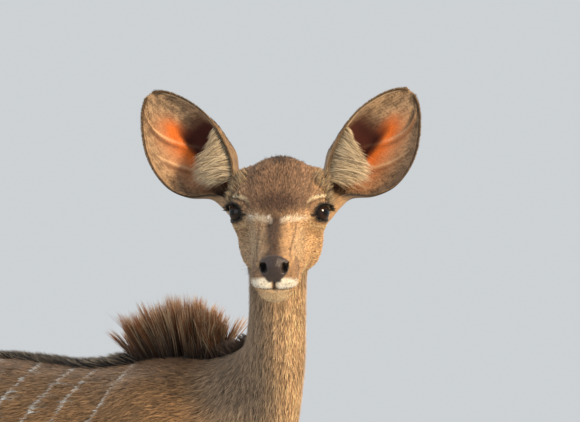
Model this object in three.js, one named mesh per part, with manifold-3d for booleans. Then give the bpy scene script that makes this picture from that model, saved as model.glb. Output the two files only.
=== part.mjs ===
// A young greater kudu cow, life size, standing alert with her head turned to her right and her ears spread.
// Millimetres, +Z up. The trunk lies along X with the chest towards +X, and the hooves stand at z = 0.
import * as THREE from "three";
import { mergeVertices } from "three/addons/utils/BufferGeometryUtils.js";
import Module from "manifold-3d";

const wasm = await Module();
wasm.setup();

// General sizes
const DEGREE = Math.PI / 180;
const GAP = 0.3; // clearance between neighbouring pieces
const CLEAR = 0.5; // how far a skin is swelled before pieces that stand on it are cut by it
const X_AXIS = new THREE.Vector3(1, 0, 0);
const Y_AXIS = new THREE.Vector3(0, 1, 0);
const Z_AXIS = new THREE.Vector3(0, 0, 1);
const SIDES = { right: -1, left: 1 };

// Where the head looks, as an angle from the trunk's forward direction
const LOOK_TURN = -48 * DEGREE; // the upper neck and the head face her right
const HEAD_YAW = -3.3 * DEGREE; // the muzzle is carried a little further round
const FACE_PITCH = 34 * DEGREE; // the face slopes down this much from level
const EYE_LINE = { forward: 363, across: 162, height: 1389 }; // middle of the eyes, in the look directions

// Trunk sections from the rump to the chest: [x, back, belly, half width]
const TRUNK = [
  [-765, 1060, 872, 82],
  [-690, 1115, 800, 126],
  [-600, 1140, 738, 146],
  [-500, 1146, 684, 158],
  [-380, 1139, 648, 168],
  [-240, 1127, 634, 164],
  [-110, 1132, 636, 150],
  [-10, 1148, 644, 134],
  [50, 1130, 658, 124],
  [110, 1085, 688, 110],
  [165, 1020, 738, 90],
  [212, 950, 805, 58],
];
const TRUNK_EGG = 0.26; // how much narrower a section is at the back than at the belly

// Limb sections on the left side, from the top down: [x, y, z, half width, half depth]
const SHOULDER = [
  [-20, 62, 1075, 30, 62],
  [20, 84, 960, 40, 84],
  [72, 92, 860, 44, 88],
  [55, 96, 765, 42, 80],
  [22, 95, 690, 38, 60],
];
const FORELEG = [
  [30, 94, 760, 38, 66],
  [18, 94, 690, 37, 56],
  [20, 93, 620, 32, 46],
  [26, 91, 530, 26, 35],
  [32, 90, 440, 22, 27],
  [37, 90, 392, 26, 31],
  [34, 90, 348, 20, 24],
  [36, 90, 250, 17, 20],
  [38, 90, 165, 18, 22],
  [40, 90, 128, 22, 27],
  [54, 90, 88, 19, 22],
  [66, 90, 52, 22, 27],
  [72, 90, 28, 20, 24],
];
const THIGH = [
  [-640, 70, 1060, 42, 78],
  [-650, 92, 970, 54, 112],
  [-635, 100, 870, 56, 120],
  [-612, 104, 780, 50, 98],
  [-625, 102, 715, 42, 70],
];
const HINDLEG = [
  [-606, 100, 800, 48, 92],
  [-618, 100, 720, 42, 72],
  [-655, 97, 640, 34, 50],
  [-704, 94, 560, 24, 36],
  [-742, 92, 490, 24, 37],
  [-752, 92, 452, 23, 33],
  [-744, 92, 400, 20, 26],
  [-736, 92, 300, 17, 22],
  [-730, 92, 175, 18, 23],
  [-727, 92, 132, 23, 28],
  [-714, 92, 90, 19, 23],
  [-702, 92, 54, 22, 28],
  [-696, 92, 30, 20, 25],
];
const HOCK_POINT = [
  [-742, 92, 505, 15, 18],
  [-772, 92, 528, 12, 13],
];
const FORELEG_CUT = 668; // below the elbow
const HINDLEG_CUT = 712; // below the stifle

// Neck sections from the chest up: [x, y, z, half width, half depth, angle of its side direction in degrees]
const NECK = [
  [100, 0, 925, 104, 124, 90],
  [160, -4, 1035, 68, 96, 80],
  [214, -21, 1105, 51, 86, 66],
  [243, -38, 1155, 51, 76, 54],
  [262, -54, 1215, 49, 69, 46],
  [281, -74, 1285, 50, 66, 42],
  [294, -88, 1345, 55, 64, 40],
  [301, -95, 1392, 54, 58, 39],
];
const NECK_BASE_CUT = { through: [132, 0, 1100], tilt: 31 * DEGREE }; // tilt of the cut's normal up from forward

// The cut between head and neck runs through these, as [forward, up] from the middle of the eyes
const HEAD_CUT = { nape: [-95, 66], throat: [-48, -100] };
// The neck's middle line goes on into the head as far as the cut
const NECK_END = [
  [317, -103, 1440, 54, 58, 39],
  [327, -115, 1480, 50, 54, 39],
];

// Head sections in the face's own directions from the poll to the lips: [along, dorsal edge, ventral edge, half width]
// The middle of the eyes is at 0, 0.
const SKULL = [
  [-96, 36, -72, 52],
  [-76, 57, -96, 62],
  [-48, 67, -106, 68],
  [-18, 64, -104, 71],
  [12, 55, -98, 69],
  [46, 42, -89, 60],
  [84, 32, -80, 50],
  [118, 29, -71, 43],
  [148, 27, -66, 38],
  [166, 21, -58, 34],
];
const EYE = { along: 2, dorsal: 1, across: 62, radius: 21, turnOut: 53 * DEGREE, open: [24, 13.5] };
const LID = 3.6; // thickness of the lids over the eye
const NOSTRIL = { along: 178, dorsal: 11, across: 16 };
const LIP_PUFF = { along: 165, dorsal: -17, across: 20, radii: [22, 20, 14] };
const CHIN = { along: 152, dorsal: -50, radii: [27, 23, 17] };

// Ear sections from the root to the tip: [along, inner half width, outer half width, depth of the cup, half wrap]
const EAR = [
  [-8, 27, 24, 26, 165],
  [14, 32, 30, 36, 140],
  [38, 38, 56, 47, 106],
  [68, 45, 73, 50, 92],
  [100, 50, 77, 44, 88],
  [131, 50, 72, 33, 86],
  [160, 43, 59, 22, 84],
  [186, 31, 41, 12, 82],
  [203, 18, 24, 6, 80],
  [213, 6, 8, 2, 78],
];
const EAR_ROOT = { forward: -58, across: 84, up: 30 };
const EAR_LEAN = { right: 51 * DEGREE, left: 53 * DEGREE }; // how far each ear rises above level
const EAR_BACK = -4 * DEGREE;
const EAR_WALL = 3.6;

// Manes. Each has a low core of packed hair and locks that stand out of it. heights, lean and splay are given at even
// steps from front to back: the locks' height, their lean from upright towards the rump, and their swing to a side.
const NAPE = {
  heights: [16, 28, 34, 36, 34, 26, 15, 12],
  leans: [40, 55, 58, 55, 50, 45, 40, 30],
  core: 0.42,
  half: 8,
  locks: 13,
  wide: 20,
  splay: 16,
};
const WITHERS = {
  heights: [52, 86, 102, 106, 106, 102, 92, 66, 40],
  leans: [-18, -14, -8, 0, 9, 19, 30, 39, 43],
  core: 0.48,
  half: 11,
  locks: 29,
  wide: 30,
  splay: 11,
};
const CREST = {
  heights: [32, 30, 28, 26, 25, 24, 22, 18],
  leans: [54, 54, 54, 55, 55, 55, 58, 60],
  core: 0.4,
  half: 7,
  locks: 18,
  wide: 21,
  splay: 18,
};
const SUNK = 9; // how far a mane's core is let into the skin
const LOCK_THICK = 4.5; // at its root

// Hooves, each of two claws
const CLAW = { toe: 47, heel: -30, height: 54, width: 25, cleft: 3 };

// Interpolates rows of numbers along a smooth curve through them
function threaded(rows, steps) {
  const rowAt = (i) => rows[Math.max(0, Math.min(rows.length - 1, i))];
  const made = [];
  for (let i = 0; i < rows.length - 1; i++)
    for (let k = 0; k < steps; k++) {
      const t = k / steps;
      made.push(
        rows[i].map((b, n) => {
          const [a, c, d] = [rowAt(i - 1)[n], rowAt(i + 1)[n], rowAt(i + 2)[n]];
          return b + 0.5 * t * (c - a + t * (2 * a - 5 * b + 4 * c - d + t * (3 * (b - c) + d - a)));
        }),
      );
    }
  made.push(rows.at(-1).slice());
  return made;
}

// The signed reach of a swept form, whose rows are [x, y, z, half width, half depth].
// sideOf gives the direction of a row's width. egg narrows its dorsal half, and power squares its sections off.
function strand(rows, { sideOf = () => Y_AXIS, power = 2, egg = 0, cap = 30, steps = 3, reach = 90 } = {}) {
  const dense = threaded(rows, steps);
  const box = new THREE.Box3().setFromPoints(dense.map((r) => new THREE.Vector3(...r)));
  const most = Math.max(...dense.map((r) => Math.max(r[3], r[4])));
  box.expandByScalar(most + cap);
  const links = dense.slice(1).map((b, i) => {
    const a = dense[i];
    const along = new THREE.Vector3(b[0] - a[0], b[1] - a[1], b[2] - a[2]);
    const length = along.length();
    along.divideScalar(length);
    const side = sideOf(a).clone().addScaledVector(along, -sideOf(a).dot(along)).normalize();
    const up = new THREE.Vector3().crossVectors(along, side);
    return { a, b, along, length, side, up };
  });
  const spot = new THREE.Vector3();
  return (x, y, z) => {
    const away = box.distanceToPoint(spot.set(x, y, z));
    if (away > reach) return away;
    let best = Infinity;
    for (const { a, b, along, length, side, up } of links) {
      const px = x - a[0];
      const py = y - a[1];
      const pz = z - a[2];
      const t = Math.max(0, Math.min(length, px * along.x + py * along.y + pz * along.z));
      const f = t / length;
      const qx = px - along.x * t;
      const qy = py - along.y * t;
      const qz = pz - along.z * t;
      const deep = a[4] + (b[4] - a[4]) * f;
      const v = (qx * up.x + qy * up.y + qz * up.z) / deep;
      const full = a[3] + (b[3] - a[3]) * f;
      const wide = full * (1 - egg * Math.max(-1, Math.min(1, v)));
      const u = (qx * side.x + qy * side.y + qz * side.z) / wide;
      const w = (qx * along.x + qy * along.y + qz * along.z) / cap;
      const ring =
        power === 2 ? u * u + v * v : Math.pow(Math.pow(Math.abs(u), power) + Math.pow(Math.abs(v), power), 2 / power);
      best = Math.min(best, (Math.sqrt(ring + w * w) - 1) * Math.min(wide, deep));
    }
    return best;
  };
}

// Joins two forms with a fillet about as wide as blend
function soft(a, b, blend) {
  const h = Math.max(blend - Math.abs(a - b), 0) / blend;
  return Math.min(a, b) - (h * h * blend) / 4;
}

// The trunk, limbs and neck as one form
const trunkRows = TRUNK.map(([x, back, belly, half]) => [x, 0, (back + belly) / 2, half, (back - belly) / 2]);
const trunkForm = strand(trunkRows, { power: 2.25, egg: TRUNK_EGG, cap: 42 });
const shoulderForm = strand(SHOULDER, { power: 2.2 });
const forelegForm = strand(FORELEG, { cap: 16 });
const thighForm = strand(THIGH, { power: 2.2 });
const hindlegForm = strand(HINDLEG, { cap: 16 });
const hockForm = strand(HOCK_POINT, { cap: 12 });
const turned = (degrees) => new THREE.Vector3(Math.cos(degrees * DEGREE), Math.sin(degrees * DEGREE), 0);
const neckForm = strand(NECK, { sideOf: (row) => turned(row[5]), power: 2.1, cap: 30, steps: 4 });
const legsForm = (x, y, z) => {
  const m = Math.abs(y);
  return Math.min(forelegForm(x, m, z), soft(hindlegForm(x, m, z), hockForm(x, m, z), 22));
};
const bodyForm = (x, y, z, lowest = -10) => {
  const m = Math.abs(y);
  let d = soft(trunkForm(x, y, z), shoulderForm(x, m, z), 46);
  d = soft(d, thighForm(x, m, z), 46);
  d = soft(d, Math.max(legsForm(x, y, z), lowest - z), 30);
  return soft(d, neckForm(x, y, z), 62);
};

// The head's directions: forward along the look, left across it, and up
const across = turned((LOOK_TURN / DEGREE) + 90);
const ahead = turned(LOOK_TURN / DEGREE);
const headLeft = turned((LOOK_TURN + HEAD_YAW) / DEGREE + 90);
const headAhead = turned((LOOK_TURN + HEAD_YAW) / DEGREE);
const headMiddle = new THREE.Vector3()
  .addScaledVector(ahead, EYE_LINE.forward)
  .addScaledVector(across, EYE_LINE.across)
  .setZ(EYE_LINE.height);
const inHead = (forward, left, up) =>
  headMiddle.clone().addScaledVector(headAhead, forward).addScaledVector(headLeft, left).setZ(EYE_LINE.height + up);
const faceAlong = headAhead.clone().multiplyScalar(Math.cos(FACE_PITCH)).addScaledVector(Z_AXIS, -Math.sin(FACE_PITCH));
const faceUp = headAhead.clone().multiplyScalar(Math.sin(FACE_PITCH)).addScaledVector(Z_AXIS, Math.cos(FACE_PITCH));
const onFace = (along, left, dorsal) =>
  headMiddle
    .clone()
    .addScaledVector(faceAlong, along)
    .addScaledVector(headLeft, left)
    .addScaledVector(faceUp, dorsal);

// A rounded lump in the face's directions: place and radii are [along, left, dorsal]
function lump(place, radii) {
  const least = Math.min(...radii);
  return (a, s, b) => {
    const r = Math.hypot((a - place[0]) / radii[0], (s - place[1]) / radii[1], (b - place[2]) / radii[2]);
    return (r - 1) * least;
  };
}

// The head in its own directions: skull and jaw, brows, cheeks, lips and chin
const skullForm = strand(
  SKULL.map(([along, top, bottom, half]) => [along, 0, (top + bottom) / 2, half, (top - bottom) / 2]),
  { power: 2.45, cap: 20, steps: 3, reach: 60 },
);
const browForm = lump([-14, 61, 24], [34, 15, 15]);
const socketForm = lump([4, 61, -3], [32, 22, 27]);
const noseForm = lump([160, 0, 10], [23, 26, 16]);
const puffForm = lump([LIP_PUFF.along, LIP_PUFF.across, LIP_PUFF.dorsal], LIP_PUFF.radii);
const chinForm = lump([CHIN.along, 0, CHIN.dorsal], CHIN.radii);
const jawForm = lump([-14, 37, -80], [54, 28, 27]);
const earMoundForm = lump([-70, 58, 12], [26, 24, 24]);
const bridgeForm = lump([80, 0, 20], [90, 17, 18]);
const hollowForm = lump([78, 56, -10], [46, 15, 22]);
const faceForm = (a, s, b) => {
  const m = Math.abs(s);
  let d = soft(skullForm(a, s, b), browForm(a, m, b), 14);
  d = soft(d, socketForm(a, m, b), 14);
  d = soft(d, jawForm(a, m, b), 22);
  d = soft(d, earMoundForm(a, m, b), 18);
  d = soft(d, bridgeForm(a, m, b), 12);
  d = -soft(-d, hollowForm(a, m, b), 16);
  d = soft(d, noseForm(a, m, b), 12);
  d = soft(d, puffForm(a, m, b), 10);
  return soft(d, chinForm(a, m, b), 12);
};
const headForm = (x, y, z) => {
  const px = x - headMiddle.x;
  const py = y - headMiddle.y;
  const pz = z - headMiddle.z;
  return faceForm(
    px * faceAlong.x + py * faceAlong.y + pz * faceAlong.z,
    px * headLeft.x + py * headLeft.y,
    px * faceUp.x + py * faceUp.y + pz * faceUp.z,
  );
};
const fleshForm = (x, y, z) => soft(bodyForm(x, y, z), headForm(x, y, z), 30);

// A closed solid from corner places and triangles, whichever way round they run
function solidOf(places, triangles) {
  const geometry = new THREE.BufferGeometry();
  geometry.setAttribute("position", new THREE.Float32BufferAttribute(places.flat(), 3));
  geometry.setIndex(triangles.flat());
  return solidFrom(geometry);
}
function solidFrom(geometry) {
  const bare = new THREE.BufferGeometry().setAttribute("position", geometry.getAttribute("position"));
  if (geometry.index) bare.setIndex(geometry.index);
  const merged = mergeVertices(bare, 1e-3);
  const kept = [];
  for (let i = 0; i < merged.index.count; i += 3) {
    const [a, b, c] = merged.index.array.slice(i, i + 3);
    if (a !== b && b !== c && c !== a) kept.push(a, b, c);
  }
  const triVerts = new Uint32Array(kept);
  const make = () =>
    new wasm.Manifold(new wasm.Mesh({ numProp: 3, vertProperties: merged.attributes.position.array, triVerts }));
  let made = make();
  if (made.volume() < 0) {
    for (let i = 0; i < triVerts.length; i += 3)
      [triVerts[i], triVerts[i + 1]] = [triVerts[i + 1], triVerts[i]];
    made = make();
  }
  return made;
}
function geometryOf(solid) {
  const { numProp, vertProperties, triVerts } = solid.getMesh();
  const places = new Float32Array((vertProperties.length / numProp) * 3);
  for (let i = 0; i < places.length / 3; i++)
    places.set(vertProperties.subarray(i * numProp, i * numProp + 3), i * 3);
  const geometry = new THREE.BufferGeometry();
  geometry.setAttribute("position", new THREE.BufferAttribute(places, 3));
  geometry.setIndex(new THREE.BufferAttribute(new Uint32Array(triVerts), 1));
  geometry.computeVertexNormals();
  return geometry;
}
// The same solid with its corners moved outwards
function swelled(solid, by = CLEAR) {
  const geometry = geometryOf(solid);
  const { position, normal } = geometry.attributes;
  for (let i = 0; i < position.array.length; i++) position.array[i] += normal.array[i] * by;
  return solidFrom(geometry);
}
const largest = (solid) => solid.decompose().sort((a, b) => b.volume() - a.volume())[0];
const joined = (solids) => wasm.Manifold.union(solids);

// How far a ray runs before it leaves a form
function depthAlong(form, from, way, most) {
  const stride = 3;
  const inside = (t) => form(from.x + way.x * t, from.y + way.y * t, from.z + way.z * t) < 0;
  let far = stride;
  while (far < most && inside(far)) far += stride;
  let near = far - stride;
  for (let i = 0; i < 12; i++) {
    const middle = (near + far) / 2;
    if (inside(middle)) near = middle;
    else far = middle;
  }
  return Math.min(near, most);
}

// A closed solid through rings of places, all of one length. A pole closes each end.
function loft(rings, poles = []) {
  const count = rings[0].length;
  const places = rings.flat();
  const triangles = [];
  for (let i = 0; i < rings.length - 1; i++)
    for (let k = 0; k < count; k++) {
      const [a, b] = [i * count + k, i * count + ((k + 1) % count)];
      triangles.push([a, b, b + count], [a, b + count, a + count]);
    }
  [0, rings.length - 1].forEach((ring, end) => {
    const flat = new THREE.Vector3();
    for (const p of rings[ring]) flat.addScaledVector(p, 1 / count);
    const pole = places.push(poles[end] ?? flat) - 1;
    for (let k = 0; k < count; k++) {
      const [a, b] = [ring * count + k, ring * count + ((k + 1) % count)];
      triangles.push(end ? [a, b, pole] : [b, a, pole]);
    }
  });
  return solidOf(
    places.map((p) => p.toArray()),
    triangles,
  );
}

// A skin of rings round a spine. Each station is { at, along, side, tilt, most }: its rays leave the spine at right
// angles, or lean forward by tilt, and stop where the form ends or after most.
function ringed(form, stations, count) {
  const rings = stations.map(({ at, along, side, tilt = 0, most }) => {
    const up = new THREE.Vector3().crossVectors(along, side).normalize();
    return Array.from({ length: count }, (_, k) => {
      const angle = (2 * Math.PI * (k + 0.5)) / count;
      const way = side.clone().multiplyScalar(Math.cos(angle)).addScaledVector(up, Math.sin(angle));
      way.multiplyScalar(Math.cos(tilt)).addScaledVector(along, Math.sin(tilt));
      return at.clone().addScaledVector(way, depthAlong(form, at, way, most));
    });
  });
  const { at, along, tilt, most } = stations.at(-1);
  const front = tilt ? at.clone().addScaledVector(along, depthAlong(form, at, along, most)) : undefined;
  return loft(rings, [undefined, front]);
}

// Stations along rows of a strand, with the rays' limit as a share of the row's own size
function stationsOf(rows, { steps, sideOf = () => Y_AXIS, slack = 1.5, tiltOf }) {
  const dense = threaded(rows, steps).map((r) => ({ row: r, at: new THREE.Vector3(r[0], r[1], r[2]) }));
  return dense.map(({ row, at }, i) => {
    const before = dense[Math.max(0, i - 1)].at;
    const after = dense[Math.min(dense.length - 1, i + 1)].at;
    const along = tiltOf ? tiltOf(i, dense.length) : after.clone().sub(before).normalize();
    const side = sideOf(row).clone().addScaledVector(along, -sideOf(row).dot(along)).normalize();
    return { at, along, side, most: slack * Math.max(row[3], row[4]) };
  });
}

// A dual net over a grid: one corner for each cell that the form's skin crosses, slid on to the skin
function netted(form, low, high, counts) {
  const [nx, ny, nz] = counts;
  const step = low.map((l, i) => (high[i] - l) / (counts[i] - 1));
  const at = (i, j, k) => [low[0] + i * step[0], low[1] + j * step[1], low[2] + k * step[2]];
  const id = (i, j, k) => (i * ny + j) * nz + k;
  const value = new Float64Array(nx * ny * nz);
  for (let i = 0; i < nx; i++)
    for (let j = 0; j < ny; j++) for (let k = 0; k < nz; k++) value[id(i, j, k)] = form(...at(i, j, k));
  const places = [];
  const cellCorner = new Map();
  const CORNERS = [0, 1, 2, 3, 4, 5, 6, 7].map((n) => [n & 1, (n >> 1) & 1, (n >> 2) & 1]);
  for (let i = 0; i < nx - 1; i++)
    for (let j = 0; j < ny - 1; j++)
      for (let k = 0; k < nz - 1; k++) {
        const sum = [0, 0, 0];
        let crossings = 0;
        for (let n = 0; n < 8; n++)
          for (const bit of [1, 2, 4]) {
            if (n & bit) continue;
            const [p, q] = [CORNERS[n], CORNERS[n | bit]];
            const a = value[id(i + p[0], j + p[1], k + p[2])];
            const b = value[id(i + q[0], j + q[1], k + q[2])];
            if (a < 0 === b < 0) continue;
            const f = a / (a - b);
            p.forEach((c, axis) => (sum[axis] += c + (q[axis] - c) * f));
            crossings++;
          }
        if (!crossings) continue;
        cellCorner.set(id(i, j, k), places.length);
        places.push(at(i, j, k).map((c, axis) => c + (sum[axis] / crossings) * step[axis]));
      }
  places.forEach((p) => slideOn(form, p, Math.min(...step) * 0.5));
  const triangles = [];
  for (let axis = 0; axis < 3; axis++) {
    const [u, v] = [(axis + 1) % 3, (axis + 2) % 3];
    for (let i = 0; i < nx; i++)
      for (let j = 0; j < ny; j++)
        for (let k = 0; k < nz; k++) {
          const here = [i, j, k];
          const next = here.slice();
          next[axis]++;
          if (next[axis] >= counts[axis] || here[u] === 0 || here[v] === 0) continue;
          if (here[u] >= counts[u] - 1 || here[v] >= counts[v] - 1) continue;
          const inA = value[id(...here)] < 0;
          const inB = value[id(...next)] < 0;
          if (inA === inB) continue;
          const cell = (du, dv) => {
            const c = here.slice();
            c[u] -= du;
            c[v] -= dv;
            return cellCorner.get(id(...c));
          };
          const quad = [cell(1, 1), cell(0, 1), cell(0, 0), cell(1, 0)];
          if (!inA) quad.reverse();
          const gap = (a, b) => Math.hypot(...places[a].map((c, n) => c - places[b][n]));
          if (gap(quad[0], quad[2]) < gap(quad[1], quad[3]))
            triangles.push([quad[0], quad[1], quad[2]], [quad[0], quad[2], quad[3]]);
          else triangles.push([quad[1], quad[2], quad[3]], [quad[1], quad[3], quad[0]]);
        }
  }
  return solidOf(places, triangles);
}

// Moves a place on to the skin of a form, by at most limit
function slideOn(form, p, limit) {
  const from = p.slice();
  const h = 0.5;
  for (let round = 0; round < 4; round++) {
    const d = form(...p);
    const slope = [0, 1, 2].map((axis) => {
      const [a, b] = [p.slice(), p.slice()];
      a[axis] -= h;
      b[axis] += h;
      return (form(...b) - form(...a)) / (2 * h);
    });
    const square = slope.reduce((sum, s) => sum + s * s, 0) || 1;
    slope.forEach((s, axis) => (p[axis] -= (d * s) / square));
  }
  const moved = Math.hypot(...p.map((c, axis) => c - from[axis]));
  if (moved > limit) p.forEach((c, axis) => (p[axis] = from[axis] + ((c - from[axis]) * limit) / moved));
}

// Cutting tools
const box = (low, high) => {
  const size = low.map((l, i) => high[i] - l);
  const shape = new THREE.BoxGeometry(...size);
  shape.translate(...low.map((l, i) => l + size[i] / 2));
  return solidFrom(shape);
};
const placed = (geometry, at, basis = [X_AXIS, Y_AXIS, Z_AXIS]) =>
  solidFrom(geometry.clone().applyMatrix4(new THREE.Matrix4().makeBasis(...basis).setPosition(at)));

// Keeps what lies on the side of a plane that its normal points to, less half the gap
const keep = (solid, plane, sign = 1) => {
  const normal = plane.normal.clone().multiplyScalar(sign);
  return solid.trimByPlane(normal.toArray(), normal.dot(plane.at) + GAP / 2);
};

// The two cuts across the neck
const neckBasePlane = {
  at: new THREE.Vector3(...NECK_BASE_CUT.through),
  normal: new THREE.Vector3(Math.cos(NECK_BASE_CUT.tilt), 0, Math.sin(NECK_BASE_CUT.tilt)),
};
const nape = inHead(HEAD_CUT.nape[0], 0, HEAD_CUT.nape[1]);
const throat = inHead(HEAD_CUT.throat[0], 0, HEAD_CUT.throat[1]);
const headPlane = {
  at: nape,
  normal: new THREE.Vector3().crossVectors(headLeft, nape.clone().sub(throat)).normalize(),
};

// Trunk with its shoulders and thighs, ending at the neck and above the free legs
const trunkOnly = (x, y, z) => {
  const lowest = (x > -300 ? FORELEG_CUT : HINDLEG_CUT) - 40;
  const pastNeck = neckBasePlane.normal.dot(new THREE.Vector3(x, y, z).sub(neckBasePlane.at)) - 60;
  return Math.max(bodyForm(x, y, z, lowest), pastNeck);
};
const TRUNK_LOW = [-860, -204, 596];
const TRUNK_HIGH = [310, 204, 1190];
const TRUNK_CELLS = [28, 16, 21];
const legBox = (name, side, extra) => {
  const front = name === "foreleg";
  const y = [front ? 46 : 24, 215].map((v, i) => v * side + (i ? 1 : -1) * side * extra);
  const x = front ? [-75 - extra, 135 + extra] : [-850 - extra, -520 + extra];
  return box([x[0], Math.min(...y), -10], [x[1], Math.max(...y), (front ? FORELEG_CUT : HINDLEG_CUT) + extra]);
};
const solids = {};
solids.torso = keep(netted(trunkOnly, TRUNK_LOW, TRUNK_HIGH, TRUNK_CELLS), neckBasePlane, -1);
for (const side of Object.values(SIDES))
  for (const name of ["foreleg", "hindleg"])
    solids.torso = largest(solids.torso.subtract(legBox(name, side, GAP / 2)));

// Neck
const neckSide = (row) => turned(row[5]);
const neckStations = stationsOf([...NECK, ...NECK_END], { steps: 2, sideOf: neckSide, slack: 1.75 });
const neckSkin = ringed(fleshForm, neckStations, 20);
solids.neck = largest(keep(keep(neckSkin, neckBasePlane), headPlane, -1));

// Head: rings round the face's middle line, leaning forward over the muzzle
const HEAD_RINGS = [-118, -104, -90, -76, -60, -44, -30, -18, -8, 2, 12, 24, 38, 54, 70, 86, 102, 116, 128, 138, 146];
const MUZZLE_TILTS = [14, 28, 42, 55, 67, 79].map((d) => d * DEGREE);
const headLine = (along) => -14 - 0.09 * along;
const headStations = [
  ...HEAD_RINGS.map((along) => ({ along, tilt: 0 })),
  ...MUZZLE_TILTS.map((tilt) => ({ along: HEAD_RINGS.at(-1), tilt })),
].map(({ along, tilt }) => ({
  at: onFace(along, 0, headLine(along)),
  along: faceAlong,
  side: headLeft,
  tilt,
  most: 190,
}));
const plainHead = keep(ringed(fleshForm, headStations, 32), headPlane);
const collar = ({ at, normal }) => {
  const middle = normal.dot(at);
  return neckSkin
    .trimByPlane(normal.toArray(), middle - 5)
    .trimByPlane(normal.clone().negate().toArray(), -middle - 5);
};
const fleshRoom = joined(
  [solids.torso, solids.neck, plainHead, collar(neckBasePlane), collar(headPlane)].map((solid) => swelled(solid)),
);

// Eyes, and the lids that wrap them
const eyeAt = (side) => onFace(EYE.along, EYE.across * side, EYE.dorsal);
const eyeBasis = (side) => {
  const out = headAhead
    .clone()
    .multiplyScalar(Math.cos(EYE.turnOut))
    .addScaledVector(headLeft, side * Math.sin(EYE.turnOut));
  const level = new THREE.Vector3().crossVectors(Z_AXIS, out).normalize();
  return [level, new THREE.Vector3().crossVectors(out, level), out];
};
const ball = (radius, across = 14, down = 9) => new THREE.SphereGeometry(radius, across, down);
const opening = () => {
  const profile = [
    [0, 0],
    [EYE.open[0], 9],
    [EYE.open[0] + 6, 34],
    [0, 34],
  ].map(([r, h]) => new THREE.Vector2(r, h));
  const shape = new THREE.LatheGeometry(profile, 20);
  shape.rotateX(Math.PI / 2);
  return shape.scale(1, EYE.open[1] / EYE.open[0], 1);
};

// Mouth line, a groove that follows the lips from corner to corner
const MOUTH = { corner: 116, rise: -31, drop: -42, depth: 5, gape: 2.6 };
function mouthGroove(form) {
  const count = 13;
  const rings = Array.from({ length: count }, (_, i) => {
    const turn = (-84 + (168 * i) / (count - 1)) * DEGREE;
    const share = Math.abs(turn) / (84 * DEGREE);
    const from = onFace(MOUTH.corner + 8, 0, MOUTH.rise + (MOUTH.drop - MOUTH.rise) * share * share);
    const way = faceAlong.clone().multiplyScalar(Math.cos(turn)).addScaledVector(headLeft, Math.sin(turn));
    const out = from.clone().addScaledVector(way, depthAlong(form, from, way, 120));
    return [
      [MOUTH.depth, MOUTH.gape],
      [MOUTH.depth, -MOUTH.gape],
      [-MOUTH.depth, 0],
    ].map(([r, h]) => out.clone().addScaledVector(way, r).addScaledVector(faceUp, h));
  });
  return loft(rings);
}

let head = plainHead;
for (const side of Object.values(SIDES))
  head = head.add(placed(ball(EYE.radius + LID, 16, 12), eyeAt(side), eyeBasis(side)));
for (const side of Object.values(SIDES)) {
  const pit = new THREE.SphereGeometry(1, 12, 8).scale(13, 5.5, 7.5);
  pit.rotateZ(side * 24 * DEGREE);
  pit.rotateX(-side * 28 * DEGREE);
  head = head
    .subtract(placed(ball(EYE.radius + GAP), eyeAt(side), eyeBasis(side)))
    .subtract(placed(opening(), eyeAt(side), eyeBasis(side)))
    .subtract(
      placed(pit, onFace(NOSTRIL.along, NOSTRIL.across * side, NOSTRIL.dorsal), [faceAlong, headLeft, faceUp]),
    );
  solids["eye_" + (side > 0 ? "left" : "right")] = placed(ball(EYE.radius), eyeAt(side), eyeBasis(side));
}
head = head.subtract(mouthGroove(fleshForm));
solids.head = largest(head);

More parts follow.
